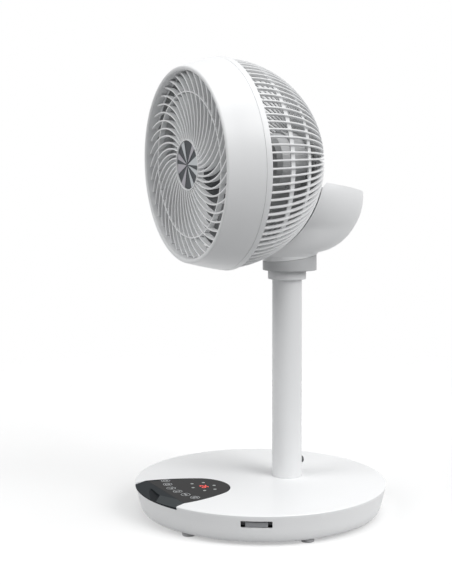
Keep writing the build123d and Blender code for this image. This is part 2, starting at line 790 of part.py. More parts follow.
def dome_strip(angles, widening=1.0):
    """Outline (radius, height) of a strip of the dome, as deep as a bar, through places at some angles."""
    outer = [(dome_radius * cos(angle) * widening, -dome_radius * sin(angle)) for angle in angles]
    inside = dome_radius - bar_depth
    return outer + [(inside * cos(angle) * widening, -inside * sin(angle)) for angle in reversed(angles)]


def rear_bar():
    """One bar of the rear grille, bent along the dome in straight runs."""
    angles = []
    for corner in range(bar_runs + 1):
        angles += hoop_angles(corner) if corner in rear_hoop_corners else [bar_angle(corner)]
    outline = Polyline([(radius, 0, height) for radius, height in dome_strip(angles)], close=True)
    return extrude(make_face(outline), bar_width / 2, both=True)


def rear_grille():
    """Domed rear guard: meridian bars on two hoops, with its mounting ring and saddle."""
    rear = -ring_rear_edge
    shell = turned([(ring_seam_radius, ring_seam), (ring_rear_radius, rear + 1), (ring_rear_radius - 0.8, rear),
                    (dome_radius - bar_depth - 1.5, rear), (dome_radius - bar_depth - 1.5, ring_seam - 2.7),
                    (ring_seam_radius - ring_flange, ring_seam - 2.7),
                    (ring_seam_radius - ring_flange, ring_seam)], rear_bars)
    half_step = 180 / rear_bars
    for corner in rear_hoop_corners:
        strip = dome_strip(hoop_angles(corner), 1 / cos(radians(half_step)))
        shell += Rot(0, 0, half_step) * turned(strip, rear_bars)
    shell += around(rear_bar(), rear_bars)
    plate_angle = degrees(asin(pole_plate_radius / dome_radius))
    for direction, half_angle in ((Vector(0, 0, -1), plate_angle), (pivot_in_head(), saddle_angle)):
        shell += cap(direction, half_angle, saddle_outer, saddle_inner)
        shell -= cap(direction, half_angle, saddle_inner, saddle_inner - bar_depth)
    shell -= pivot_bar_in_head(barrel_radius + 0.5, barrel_length + 1)
    hole = prism(1.6, 8, ring_seam - 5, ring_seam + 5, (ring_screw_circle(), 0))
    for copy in around(hole, ring_screw_count, 45):
        shell -= copy
    return shell


def tilt_yoke():
    """Casting inside the rear shell that carries the motor and the tilt barrel."""
    yoke = cap(pivot_in_head(), saddle_angle, yoke_outer, yoke_outer - yoke_thickness)
    yoke += prism(motor_boss_radius, 30, -motor_seat - motor_boss_length, -motor_seat)
    yoke += pivot_bar_in_head(barrel_radius, barrel_length)
    for copy in around(motor_screw(shaft_gap), 4, 45):
        yoke -= copy
    yoke -= pivot_bar_in_head(pin_radius + shaft_gap, 32, -barrel_length / 2 + 16)
    return yoke - pivot_bar_in_head(tilt_motor_radius + shaft_gap, 52, barrel_length / 2 - 26)


def motor_screw(gap):
    """One screw that holds the fan motor on the yoke, or its hole when grown by a gap."""
    head_back = motor_seat + motor_boss_length - 0.6
    place = (motor_screw_circle, 0)
    head = prism(3.4 + gap, 8, -head_back - gap, -head_back + 2.4 + gap, place)
    shank = prism(motor_screw_radius + gap, 8, -motor_seat - 11.5, -motor_seat + 8, place)
    access = prism(3.4 + gap, 8, -head_back - 5, -head_back + 1, place)
    return head + shank + access if gap else head + shank


def motor_screws():
    """Screws of the fan motor."""
    return [head_place * copy for copy in around(motor_screw(0), 4, 45)]


def pivot_pin():
    """Steel pin of the tilt joint on the far side."""
    low = -ear_inner - ear_thickness + 0.5
    high = -barrel_length / 2 + 31
    return pivot_round(pin_radius, high - low, (low + high) / 2)


def tilt_motor():
    """Tubular geared motor in the barrel, whose shaft end turns in the near ear."""
    body = pivot_bar(tilt_motor_radius, 50, barrel_length / 2 - 25.5)
    end = ear_inner + ear_thickness - 0.5
    start = barrel_length / 2 - 1
    return body + pivot_round(pin_radius, end - start, (end + start) / 2)


def fan_motor():
    """Round motor behind the impeller."""
    back = -motor_seat + seat_gap
    body = turned([(0, back), (motor_radius - 5, back), (motor_radius, back + 5), (motor_radius, back + 22),
                   (motor_radius + 2.5, back + 22), (motor_radius + 2.5, back + 27), (motor_radius, back + 27),
                   (motor_radius, back + motor_length - 6), (motor_radius - 6, back + motor_length),
                   (12, back + motor_length), (12, back + motor_length + 5), (0, back + motor_length + 5)], 32)
    body -= Pos(0, 0, back + motor_length) * Cylinder(shaft_radius + shaft_gap, 40)
    for copy in around(motor_screw(shaft_gap), 4, 45):
        body -= copy
    return body


def motor_shaft():
    """Motor shaft that carries the impeller."""
    low = -motor_seat + motor_length - 15
    return disc(shaft_radius, low, hub_front + 6)


def blade_section(radius, share):
    """Corners of a cambered blade section, wrapped on a cylinder, at a share of the way to the tip."""
    chord = root_chord + (tip_chord - root_chord) * share
    stagger = radians(root_stagger + (tip_stagger - root_stagger) * share)
    camber = blade_camber * chord / tip_chord
    thickness = blade_thickness + 1 - share
    shares = [-1 + 2 * step / blade_runs for step in range(blade_runs + 1)]
    lower = [(part * chord / 2, camber * (1 - part ** 2)) for part in shares]
    upper = [(along, rise + thickness * (1 - 0.6 * part ** 2)) for (along, rise), part in zip(lower, shares)]
    corners = []
    for along, rise in lower + upper[::-1]:
        turn = (along * cos(stagger) + rise * sin(stagger)) / radius
        height = rise * cos(stagger) - along * sin(stagger)
        corners.append(Vector(radius * cos(turn), radius * sin(turn), height))
    return corners


def impeller():
    """Axial impeller: cup-shaped hub with wide twisted blades."""
    hub = turned([(0, -2), (hub_radius - 3, -2), (hub_radius - 3, -hub_back), (hub_radius, -hub_back),
                  (hub_radius, hub_front - 8), (hub_radius - 8, hub_front), (0, hub_front)], 35)
    root = hub_radius - 1.5
    places = [row / blade_rows for row in range(blade_rows + 1)]
    blade = skinned([blade_section(root + (blade_radius - root) * share, share) for share in places])
    hub += around(blade, blade_count)
    return hub - disc(shaft_radius + shaft_gap, -60, 60)


def blade_nut():
    """Nut that holds the impeller on its shaft."""
    low = hub_front + seat_gap
    bore = shaft_radius + shaft_gap
    return turned([(bore, low), (11, low), (11, low + 6), (8, low + 8.7), (0, low + 8.7), (0, low + 6),
                   (bore, low + 6)], 24)


def vane_path():
    """Middle line of a vane: a round arc from the hub ring out to the rim, as straight runs."""
    start = hub_ring_radius - hub_ring_width / 2
    end = throat_radius - seat_gap - grille_rim / 2
    ends = [(start, 0.0), (vane_mid_radius, vane_mid_sweep), (end, vane_sweep)]
    points = [(radius * cos(radians(angle)), radius * sin(radians(angle))) for radius, angle in ends]
    arc = ThreePointArc(*points)
    return [arc @ (index / vane_runs) for index in range(vane_runs + 1)], \
        [arc % (index / vane_runs) for index in range(vane_runs + 1)]


def front_vane():
    """One curved vane of the front grille."""
    places, headings = vane_path()
    half = vane_thickness / 2
    left = [place + Vector(-heading.Y, heading.X) * half for place, heading in zip(places, headings)]
    right = [place - Vector(-heading.Y, heading.X) * half for place, heading in zip(places, headings)]
    outline = make_face(Polyline(left + right[::-1], close=True))
    return extrude(Pos(0, 0, grille_front - vane_depth) * outline, vane_depth)


def front_grille():
    """Front guard of spiral vanes between a hub ring, a thin hoop and the rim."""
    outer = throat_radius - seat_gap
    back = grille_front - vane_depth
    sides = 2 * vane_count
    grille = tube(outer, outer - grille_rim, sides, back, grille_front + 0.6)
    grille += tube(mid_hoop_radius + mid_hoop_width / 2, mid_hoop_radius - mid_hoop_width / 2, sides,
                   back, grille_front - 1)
    hub = hub_ring_radius - hub_ring_width
    grille += turned([(0, back), (hub_ring_radius, back), (hub_ring_radius, grille_front + 1.2),
                      (hub, grille_front + 1.2), (hub, back + 1.2), (0, back + 1.2)], vane_count)
    return grille + around(front_vane(), vane_count)


def hub_medallion():
    """Round badge plate in the middle of the front grille, pressed with plain sun rays."""
    radius = hub_ring_radius - hub_ring_width - seat_gap
    low = grille_front - vane_depth + 1.2 + seat_gap
    top = grille_front - 0.6
    plate = prism(radius, vane_count, low, top)
    half = pi / medallion_rays / 2
    edge = radius - 0.5
    ray = make_face(Polyline([(1.5, 0), (edge * cos(half), -edge * sin(half)),
                              (edge * cos(half), edge * sin(half))], close=True))
    ray = extrude(Pos(0, 0, top - 0.2) * ray, ray_height + 0.2)
    return plate + around(ray, medallion_rays, 90 + 15)


# ---- writing the pieces -----------------------------------------------------------------------
def write(name, piece):
    """Writes one piece, or a group of like pieces, as its own file."""
    if isinstance(piece, list):
        piece = Compound(children=[solid for item in piece for solid in item.solids()])
    export_step(piece, f"parts/{name}.step")


os.makedirs("parts", exist_ok=True)

write("base_cover", base_cover() + cover_posts())
write("base_plate", base_plate())
write("base_screws", base_screws())
write("base_weight", base_weight())
write("rubber_feet", rubber_feet())
write("panel_housing", panel_housing())
write("panel_lens", panel_lens())
write("control_board", control_board())
write("display_module", display_module())
write("remote_sleeve", remote_sleeve())
write("remote_control", remote_control())
write("remote_keys", remote_keys())
write("dc_inlet", dc_inlet())
write("column_spigot", column_spigot())
write("column_tube", column_tube())
write("pole_button", pole_button())
write("snap_spring", snap_spring())
write("lower_collar", lower_collar())
write("swivel_spindle", swivel_spindle())
write("spindle_ring", spindle_ring())
write("swivel_gear", swivel_gear())
write("swivel_pinion", swivel_pinion())
write("upper_collar", upper_collar())
write("swivel_washer", swivel_washer())
write("neck_bowl", neck_bowl())
write("cradle_liner", cradle_liner())
write("pivot_bracket", pivot_bracket())
write("pivot_bushes", pivot_bushes())
write("swivel_motor", swivel_motor())
write("pivot_pin", pivot_pin())
write("tilt_motor", tilt_motor())
write("front_ring", head_place * front_ring())
write("ring_screws", ring_screws())
write("rear_grille", head_place * rear_grille())
write("tilt_yoke", head_place * tilt_yoke())
write("motor_screws", motor_screws())
write("fan_motor", head_place * fan_motor())
write("motor_shaft", head_place * motor_shaft())
write("impeller", head_place * impeller())
write("blade_nut", head_place * blade_nut())
write("front_grille", head_place * front_grille())
write("hub_medallion", head_place * hub_medallion())
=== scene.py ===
import json
from math import asin, atan2, cos, hypot, pi, radians, sin, sqrt

import bmesh
import bpy
from mathutils import Matrix, Vector


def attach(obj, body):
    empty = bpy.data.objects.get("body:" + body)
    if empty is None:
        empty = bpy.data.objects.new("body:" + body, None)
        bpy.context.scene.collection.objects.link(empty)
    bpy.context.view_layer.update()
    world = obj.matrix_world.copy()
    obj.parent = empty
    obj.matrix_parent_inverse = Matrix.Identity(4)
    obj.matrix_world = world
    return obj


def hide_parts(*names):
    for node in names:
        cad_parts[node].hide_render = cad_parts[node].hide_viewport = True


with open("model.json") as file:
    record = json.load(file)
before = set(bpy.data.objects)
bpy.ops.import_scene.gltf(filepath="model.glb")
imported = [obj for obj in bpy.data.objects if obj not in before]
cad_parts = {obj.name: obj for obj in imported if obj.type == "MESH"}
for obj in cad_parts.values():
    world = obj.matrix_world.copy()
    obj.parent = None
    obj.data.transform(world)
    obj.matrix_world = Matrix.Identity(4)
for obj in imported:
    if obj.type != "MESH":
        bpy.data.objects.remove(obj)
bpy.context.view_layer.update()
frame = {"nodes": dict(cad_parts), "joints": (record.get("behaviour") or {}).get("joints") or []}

# An air circulator fan on a pole. It stands on the floor, +Z is up, and it blows towards -Y.
# Sizes are in millimetres times mm, so all the lengths handed to Blender are metres.
scene = bpy.context.scene
mm = 0.001
joints = {joint["name"]: joint for joint in frame["joints"]}
right, up = Vector((1, 0, 0)), Vector((0, 0, 1))
parallel = 0.9  # Cosine from which two directions count as the same.

# ---- camera ----------------------------------------------------------------------------------
# The fan is seen from its right front, from about the height of the head's foot.
lens = bpy.data.cameras.new("camera")
lens.lens = 65.6
lens.sensor_width = 36
lens.shift_y = -0.144
camera = bpy.data.objects.new("camera", lens)
camera.location = (1.3399, -0.7444, 0.4547)
camera.rotation_euler = Vector((-0.889, 0.457, -0.014)).to_track_quat("-Z", "Y").to_euler()
scene.collection.objects.link(camera)
scene.camera = camera
scene.view_settings.view_transform = "Standard"


# ---- studio ----------------------------------------------------------------------------------
# A white room with faint even light and three broad soft lamps: one overhead, the strongest from
# the right and a little behind, one from the front. The pale floor fades into the white room.
def greater(tree, first, second):
    """Adds a node that passes on the greater of two values."""
    node = tree.nodes.new("ShaderNodeMath")
    node.operation = "MAXIMUM"
    tree.links.new(first, node.inputs[0])
    tree.links.new(second, node.inputs[1])
    return node.outputs[0]


white_room = bpy.data.worlds.new("white_room")
scene.world = white_room
white_room.use_nodes = True
nodes, links = white_room.node_tree.nodes, white_room.node_tree.links
room_light = nodes["Background"]
room_light.inputs["Color"].default_value = (0.96, 0.98, 1.0, 1)
room_light.inputs["Strength"].default_value = 0.19
room_white = nodes.new("ShaderNodeBackground")
room_white.inputs["Color"].default_value = (1, 1, 1, 1)
seen_by = nodes.new("ShaderNodeLightPath").outputs
camera_or_gloss = greater(white_room.node_tree, seen_by["Is Camera Ray"], seen_by["Is Glossy Ray"])
any_view = greater(white_room.node_tree, camera_or_gloss, seen_by["Is Transmission Ray"])
room_mix = nodes.new("ShaderNodeMixShader")
links.new(any_view, room_mix.inputs["Fac"])
links.new(room_light.outputs[0], room_mix.inputs[1])
links.new(room_white.outputs[0], room_mix.inputs[2])
links.new(room_mix.outputs[0], nodes["World Output"].inputs["Surface"])

for name, strength, spread, towards in (("overhead_lamp", 1.2, 45, (-0.22, -0.15, -1)),
                                        ("right_lamp", 1.9, 40, (-0.906, -0.423, -0.70)),
                                        ("front_lamp", 1.2, 40, (0.05, 1, -0.62))):
    lamp = bpy.data.lights.new(name, "SUN")
    lamp.energy = strength
    lamp.angle = radians(spread)
    holder = bpy.data.objects.new(name, lamp)
    holder.rotation_euler = Vector(towards).to_track_quat("-Z", "Y").to_euler()
    scene.collection.objects.link(holder)

floor_form = bmesh.new()
bmesh.ops.create_circle(floor_form, cap_ends=True, segments=96, radius=3.0)
floor_mesh = bpy.data.meshes.new("floor")
floor_form.to_mesh(floor_mesh)
floor_form.free()
floor = bpy.data.objects.new("floor", floor_mesh)
scene.collection.objects.link(floor)
floor_paint = bpy.data.materials.new("floor_paint")
floor_paint.use_nodes = True
nodes, links = floor_paint.node_tree.nodes, floor_paint.node_tree.links
floor_shader = nodes["Principled BSDF"]
floor_shader.inputs["Roughness"].default_value = 0.9
floor_shader.inputs["Specular IOR Level"].default_value = 0.1
floor_tone = nodes.new("ShaderNodeMix")
floor_tone.data_type = "RGBA"
floor_tone.inputs["A"].default_value = (0.58, 0.58, 0.58, 1)
floor_tone.inputs["B"].default_value = (0.97, 0.97, 0.97, 1)
seen_by = nodes.new("ShaderNodeLightPath").outputs
links.new(greater(floor_paint.node_tree, seen_by["Is Camera Ray"], seen_by["Is Glossy Ray"]),
          floor_tone.inputs["Factor"])
links.new(floor_tone.outputs["Result"], floor_shader.inputs["Base Color"])
floor_place = nodes.new("ShaderNodeTexCoord")
floor_distance = nodes.new("ShaderNodeVectorMath")
floor_distance.operation = "LENGTH"
links.new(floor_place.outputs["Object"], floor_distance.inputs[0])
floor_fade = nodes.new("ShaderNodeMapRange")
floor_fade.interpolation_type = "SMOOTHSTEP"
floor_fade.inputs["From Min"].default_value = 0.35
floor_fade.inputs["From Max"].default_value = 1.6
floor_fade.inputs["To Min"].default_value = 0.4
links.new(floor_distance.outputs["Value"], floor_fade.inputs["Value"])
floor_clear = nodes.new("ShaderNodeBsdfTransparent")
floor_mix = nodes.new("ShaderNodeMixShader")
links.new(floor_fade.outputs["Result"], floor_mix.inputs["Fac"])
links.new(floor_shader.outputs[0], floor_mix.inputs[1])
links.new(floor_clear.outputs[0], floor_mix.inputs[2])
links.new(floor_mix.outputs[0], nodes["Material Output"].inputs["Surface"])
floor_mesh.materials.append(floor_paint)


# ---- base cover ------------------------------------------------------------------------------
# The round lid of the base with its flared wall: one white ABS moulding, 2.5 mm thick, with a
# fine satin grain. It has openings for the control panel, the remote control and the inlet.
def lathe(outline, steps, closed=True):
    """Turns an outline of (radius, height) points round the upright axis."""
    form = bmesh.new()
    points = [form.verts.new((radius * mm, 0, height * mm)) for radius, height in outline]
    lines = [form.edges.new(pair) for pair in zip(points, points[1:])]
    if closed:
        lines.append(form.edges.new((points[-1], points[0])))
    bmesh.ops.spin(form, geom=points + lines, cent=(0, 0, 0), axis=(0, 0, 1), dvec=(0, 0, 0),
                   angle=2 * pi, steps=steps, use_merge=True)
    bmesh.ops.remove_doubles(form, verts=form.verts, dist=1e-6)
    bmesh.ops.recalc_face_normals(form, faces=form.faces)
    return form


def drum(radius, low, high, steps):
    """Upright cylinder between two heights."""
    return lathe([(0, low), (radius, low), (radius, high), (0, high)], steps)


def rounded(form, edges, width, segments):
    """Rounds edges of a shape."""
    bmesh.ops.bevel(form, geom=edges, offset=width * mm, offset_type="OFFSET", segments=segments,
                    profile=0.5, affect="EDGES", material=-1)
    return form


def round_rings(form, spots, width, segments=4):
    """Rounds the ring-shaped edges that pass through (radius, height) spots of a turned shape."""
    reach = 0.02 * mm
    rings = []
    for edge in form.edges:
        for radius, height in spots:
            if all(abs(hypot(end.co.x, end.co.y) - radius * mm) + abs(end.co.z - height * mm) < reach
                   for end in edge.verts):
                rings.append(edge)
    return rounded(form, rings, width, segments)


def edges_along(form, way):
    """Edges of a shape that run along a direction."""
    return [edge for edge in form.edges
            if abs((edge.verts[0].co - edge.verts[1].co).normalized().dot(way)) > parallel]


def moved(x, y, z):
    """Matrix that moves by millimetres."""
    return Matrix.Translation(Vector((x, y, z)) * mm)


def placed(form, place):
    """Moves and turns a whole shape by a matrix."""
    bmesh.ops.transform(form, matrix=place, verts=form.verts)
    return form


def block(size, place):
    """Box of a size in millimetres, moved to its place by a matrix."""
    form = bmesh.new()
    bmesh.ops.create_cube(form, size=1)
    bmesh.ops.scale(form, vec=Vector(size) * mm, verts=form.verts)
    return placed(form, place)


def prism(corners, height):
    """Upright block on a flat loop of corners, all in metres."""
    form = bmesh.new()
    sole = form.faces.new([form.verts.new(corner) for corner in corners])
    raised = bmesh.ops.extrude_face_region(form, geom=[sole])["geom"]
    tops = [item for item in raised if isinstance(item, bmesh.types.BMVert)]
    bmesh.ops.translate(form, vec=(0, 0, height), verts=tops)
    bmesh.ops.recalc_face_normals(form, faces=form.faces)
    return form


def carve(form, tool, operation="DIFFERENCE", crossing=False):
    """Cuts one shape out of another, or keeps what they share."""
    things = []
    for shape in (form, tool):
        mesh = bpy.data.meshes.new("cutting")
        shape.to_mesh(mesh)
        shape.free()
        thing = bpy.data.objects.new("cutting", mesh)
        scene.collection.objects.link(thing)
        things.append(thing)
    cutter = things[0].modifiers.new("cut", "BOOLEAN")
    cutter.object = things[1]
    cutter.operation = operation
    cutter.solver = "EXACT"
    cutter.use_self = crossing
    result = bmesh.new()
    result.from_object(things[0], bpy.context.evaluated_depsgraph_get())
    for thing in things:
        mesh = thing.data
        bpy.data.objects.remove(thing)
        bpy.data.meshes.remove(mesh)
    return result


def finish_of(name, tone, roughness, metallic=0.0, mottle=0.02, grain=1500, relief=0.00003,
              stretch=(1, 1, 1), gloss=0.5):
    """A finish whose tone, sheen and fine relief vary a little over the surface."""
    finish = bpy.data.materials.new(name)
    finish.use_nodes = True
    nodes, links = finish.node_tree.nodes, finish.node_tree.links
    shader = nodes["Principled BSDF"]
    shader.inputs["Metallic"].default_value = metallic
    shader.inputs["Specular IOR Level"].default_value = gloss
    place = nodes.new("ShaderNodeTexCoord")
    drawn = nodes.new("ShaderNodeMapping")
    drawn.inputs["Scale"].default_value = stretch
    links.new(place.outputs["Object"], drawn.inputs["Vector"])
    clouds = nodes.new("ShaderNodeTexNoise")
    clouds.inputs["Scale"].default_value = 16
    clouds.inputs["Detail"].default_value = 3
    links.new(place.outputs["Object"], clouds.inputs["Vector"])
    blend = nodes.new("ShaderNodeMix")
    blend.data_type = "RGBA"
    blend.inputs["A"].default_value = (*[part * (1 - mottle) for part in tone], 1)
    blend.inputs["B"].default_value = (*[min(part * (1 + mottle), 1) for part in tone], 1)
    links.new(clouds.outputs["Fac"], blend.inputs["Factor"])
    links.new(blend.outputs["Result"], shader.inputs["Base Color"])
    grains = nodes.new("ShaderNodeTexNoise")
    grains.inputs["Scale"].default_value = grain
    grains.inputs["Detail"].default_value = 2
    links.new(drawn.outputs["Vector"], grains.inputs["Vector"])
    sheen = nodes.new("ShaderNodeMapRange")
    sheen.inputs["To Min"].default_value = roughness - 0.05
    sheen.inputs["To Max"].default_value = roughness + 0.05
    links.new(grains.outputs["Fac"], sheen.inputs["Value"])
    links.new(sheen.outputs["Result"], shader.inputs["Roughness"])
    bump = nodes.new("ShaderNodeBump")
    bump.inputs["Strength"].default_value = 0.35
    bump.inputs["Distance"].default_value = relief
    links.new(grains.outputs["Fac"], bump.inputs["Height"])
    links.new(bump.outputs["Normal"], shader.inputs["Normal"])
    return finish


def piece(name, form, body, finish, slot, *replaced, crease=32):
    """Makes a piece of the fan from its shape, and fixes it to its body."""
    mesh = bpy.data.meshes.new(name)
    form.to_mesh(mesh)
    form.free()
    mesh.shade_smooth()
    mesh.set_sharp_from_angle(angle=radians(crease))
    mesh.materials.clear()
    mesh.materials.append(finish)
    made = bpy.data.objects.new(name, mesh)
    scene.collection.objects.link(made)
    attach(made, body)
    if replaced:
        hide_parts(*replaced)
    return made


def circle_through(a, b, c):
    """Centre of the circle through three level points."""
    twice = 2 * (a[0] * (b[1] - c[1]) + b[0] * (c[1] - a[1]) + c[0] * (a[1] - b[1]))
    x = sum((p[0] ** 2 + p[1] ** 2) * (q[1] - r[1]) for p, q, r in ((a, b, c), (b, c, a), (c, a, b)))
    y = sum((p[0] ** 2 + p[1] ** 2) * (r[0] - q[0]) for p, q, r in ((a, b, c), (b, c, a), (c, a, b)))
    return x / twice, y / twice


def turn_between(centre, start, end):
    """Angle of one point round a centre, and the short way from it to another point."""
    first = atan2(start[1] - centre[1], start[0] - centre[0])
    last = atan2(end[1] - centre[1], end[0] - centre[0])
    return first, (last - first + pi) % (2 * pi) - pi


def arc_points(centre, start, end, steps):
    """Points on a level arc from one point to another, the short way round."""
    first, turn = turn_between(centre, start, end)
    radius = hypot(start[0] - centre[0], start[1] - centre[1])
    angles = [first + turn * step / steps for step in range(steps + 1)]
    return [(centre[0] + radius * cos(angle), centre[1] + radius * sin(angle)) for angle in angles]


base_radius, base_top = 180, 42.3
leaf_tip, tip_bend, tip_share = -55, 49, 0.815
side_bulge, past_rim, leaf_end = 4.2, 183, -189


def leaf_side(gap, side, crease, rim_angle):
    """One side of the control panel's outline, from its round tip to beyond the base's rim."""
    reach, join_x = tip_bend + gap, tip_bend * tip_share + gap
    tip_y = leaf_tip + gap
    join = (side * join_x, tip_y - reach + sqrt(reach ** 2 - join_x ** 2))
    crease = (side * (crease[0] + gap), crease[1])
    bulge = ((join[0] + crease[0]) / 2 + side * side_bulge, (join[1] + crease[1]) / 2)
    rim = (side * (past_rim * sin(radians(rim_angle)) + gap), -past_rim * cos(radians(rim_angle)))
    points = arc_points((0, tip_y - reach), (0, tip_y), join, steps=12)
    points += arc_points(circle_through(join, bulge, crease), join, crease, steps=16)[1:]
    return points + [rim, (rim[0], leaf_end)]


def leaf_outline(gap):
    """Outline of the control panel, grown by a gap: round at its tip, cut off at the base's rim."""
    near_side = leaf_side(gap, 1, crease=(61.5, -150), rim_angle=23.1)
    far_side = leaf_side(gap, -1, crease=(65, -152.5), rim_angle=18.5)
    return near_side + far_side[:0:-1]


def leaf_block(gap, low, high):
    """Upright block with the panel's outline."""
    return prism([(x * mm, y * mm, low * mm) for x, y in leaf_outline(gap)], (high - low) * mm)


seat_gap = 0.3
white_tone = (0.83, 0.835, 0.84)
base_white = finish_of("base_white", white_tone, 0.36, mottle=0.008)
cover_outline = [(0, base_top), (base_radius, base_top), (178.6, 36.5), (177.2, 31), (175.6, 24.5),
                 (174.3, 18.5), (172.6, 12.5), (170.6, 8.4), (168.6, 5.6), (166, 4.5), (163.5, 4.5),
                 (166, 7), (168.2, 10.2), (172.5, 25), (176.2, 39.8), (0, 39.8)]
base_cover = lathe(cover_outline, steps=192)
round_rings(base_cover, [(base_radius, base_top)], width=1.7, segments=5)
panel_hole = leaf_block(seat_gap, low=37.9, high=44)
slot_bearing, slot_height = 59.4, 30.1
slot_place = Matrix.Rotation(radians(slot_bearing - 90), 4, "Z") @ moved(0, 0, slot_height)
slot_hole = block(size=(60, 41, 9.4), place=moved(170, 0, 0))
rounded(slot_hole, edges_along(slot_hole, right), width=0.9, segments=3)
inlet_hole = block(size=(14.6, 30, 11.6), place=moved(0, 172, 21))
pole_y = 44.6
pole_place = moved(0, pole_y, 0)
pole_well = placed(drum(21.9, low=30, high=60, steps=96), pole_place)
for hole in (panel_hole, placed(slot_hole, slot_place), inlet_hole, pole_well):
    base_cover = carve(base_cover, hole)
piece("base_shell", base_cover, "stand", base_white, "white_base", "base_cover")


# ---- base floor, ballast and feet --------------------------------------------------------------
# A flat ribbed floor closes the base from below. Six steel screws hold it, a cast-iron ring on
# it keeps the fan from tipping, and six round rubber pads are pressed into it.
def dress(finish, *names):
    """Gives a finish to pieces whose shapes stay as they are."""
    for name in names:
        for holder in frame["nodes"][name].material_slots:
            holder.material = finish


def whole(form):
    """All the parts of a shape, as the shape's operators take them."""
    return form.verts[:] + form.edges[:] + form.faces[:]


def repeated(form, count):
    """Spreads copies of a shape evenly round the upright axis."""
    bmesh.ops.spin(form, geom=whole(form), cent=(0, 0, 0), axis=(0, 0, 1), dvec=(0, 0, 0),
                   angle=2 * pi * (count - 1) / count, steps=count - 1, use_duplicate=True)
    return form


dress(finish_of("floor_plastic", (0.62, 0.63, 0.64), 0.5, grain=900, relief=0.00006), "base_plate")
screw_zinc = finish_of("screw_zinc", (0.55, 0.56, 0.58), 0.32, metallic=1.0, stretch=(1, 1, 12))
dress(screw_zinc, "base_screws", "ring_screws", "motor_screws")
cast_iron = finish_of("cast_iron", (0.09, 0.09, 0.095), 0.7, metallic=0.6, mottle=0.2, grain=500,
                      relief=0.0003)
dress(cast_iron, "base_weight")
foot_rubber = finish_of("foot_rubber", (0.36, 0.36, 0.37), 0.75, mottle=0.1, grain=1100, relief=0.00008)
foot_radius, foot_circle, foot_bearing = 8.8, 158, radians(24)
foot = drum(foot_radius, low=0, high=4.3, steps=40)
round_rings(foot, [(foot_radius, 0)], width=0.9, segments=3)
placed(foot, moved(foot_circle * sin(foot_bearing), -foot_circle * cos(foot_bearing), 0))
feet = repeated(foot, count=6)
piece("round_feet", feet, "stand", foot_rubber, "foot_rubber", "rubber_feet")


# ---- control panel -----------------------------------------------------------------------------
# A dark leaf-shaped tray let into the base: satin black round the edge, a sloping band with a thumb
# scoop in front, and a glossy smoked lens over the printed keys and the lit display. The scoop's
# floor is painted blacker as painted shade, and a patch of the band beside it is painted a lighter
# slate as painted light where the band faces the light.
def closed_up(form, turn_out=True):
    """Closes what a sweep or a cut has left open, and turns the faces outwards."""
    bmesh.ops.holes_fill(form, edges=[edge for edge in form.edges if edge.is_boundary], sides=0)
    if turn_out:
        bmesh.ops.recalc_face_normals(form, faces=form.faces)
    return form


def swept(section, centre, axis, angle, steps):
    """Bar whose section, a loop of points in metres, is turned round an axis, with closed ends."""
    form = bmesh.new()
    corners = [form.verts.new(point) for point in section]
    sides = [form.edges.new((corners[index - 1], corners[index])) for index in range(len(corners))]
    full = abs(angle) > 2 * pi - 1e-6
    bmesh.ops.spin(form, geom=corners + sides, cent=centre, axis=axis, dvec=(0, 0, 0), angle=angle,
                   steps=steps, use_merge=full)
    return closed_up(form)


def gathered(forms):
    """One shape from several."""
    joined = bmesh.new()
    for form in forms:
        mesh = bpy.data.meshes.new("gathering")
        form.to_mesh(mesh)
        form.free()
        joined.from_mesh(mesh)
        bpy.data.meshes.remove(mesh)
    return joined


panel_black = finish_of("panel_black", (0.020, 0.024, 0.027), 0.5, mottle=0.05, grain=1800, gloss=0.03)
# Painted light and shade on the band: a lighter slate for its lit patch, a blacker tone for the scoop's
# floor.
patch_painted_light = finish_of("patch_painted_light", (0.037, 0.043, 0.046), 0.45, mottle=0.04, grain=1800, gloss=0.03)
scoop_painted_shade = finish_of("scoop_painted_shade", (0.013, 0.015, 0.017), 0.55, mottle=0.04, grain=1800, gloss=0.02)
smoked_lens = finish_of("smoked_lens", (0.027, 0.0265, 0.027), 0.3, mottle=0.03, grain=400,
                        relief=0.000004, gloss=0.012)
dress(smoked_lens, "panel_lens")
rim_drum = drum(base_radius, low=30, high=60, steps=192)
tray = carve(leaf_block(gap=0, low=38.2, high=base_top), rim_drum, "INTERSECT")
inner_drum = drum(base_radius - 10, low=30, high=60, steps=96)
tray = carve(tray, carve(leaf_block(gap=-5, low=33.3, high=38.7), inner_drum, "INTERSECT"), "UNION")
band_start, band_drop, band_depth = -150, 2.7, 30
band_slope = Matrix.Rotation(atan2(band_drop, band_depth), 4, "X")
over_band = moved(0, band_start, base_top) @ band_slope @ moved(0, -30, 10)
tray = carve(tray, block((400, 60, 20), over_band))
behind_band = block((400, 400, 80), moved(0, band_start + 200, 42))
tray = carve(tray, carve(leaf_block(gap=-0.8, low=40.7, high=44), behind_band, "INTERSECT"))
behind_wall = block((400, 400, 80), moved(0, band_start + 208, 42))
tray = carve(tray, carve(leaf_block(gap=-9, low=35.3, high=44), behind_wall, "INTERSECT"))
scoop_corners = ((-11.5, 0), (35, 0), (35, -18), (-42, -18))
scoop_room, scoop_turn, scoop_slope = 12, radians(-34.4), radians(-7)
scoop = prism([(x * mm, y * mm, 0) for x, y in scoop_corners], scoop_room * mm)
scoop_place = (moved(17.5, -168.5, 38.5) @ Matrix.Rotation(scoop_turn, 4, "Z")
               @ Matrix.Rotation(scoop_slope, 4, "X"))
tray = carve(tray, placed(scoop, scoop_place))
patch_edge, patch_corner, patch_way = 8, Vector((8, -162, 0)) * mm, Vector((-0.344, 0.939, 0))
bmesh.ops.bisect_plane(tray, geom=whole(tray), plane_co=patch_corner, plane_no=patch_way)
panel_tray = piece("panel_tray", tray, "stand", panel_black, "panel_dark", "panel_housing")
lit_patch_slot, scoop_shade_slot, leans_back = 1, 2, 0.03
panel_tray.data.materials.append(patch_painted_light)
panel_tray.data.materials.append(scoop_painted_shade)
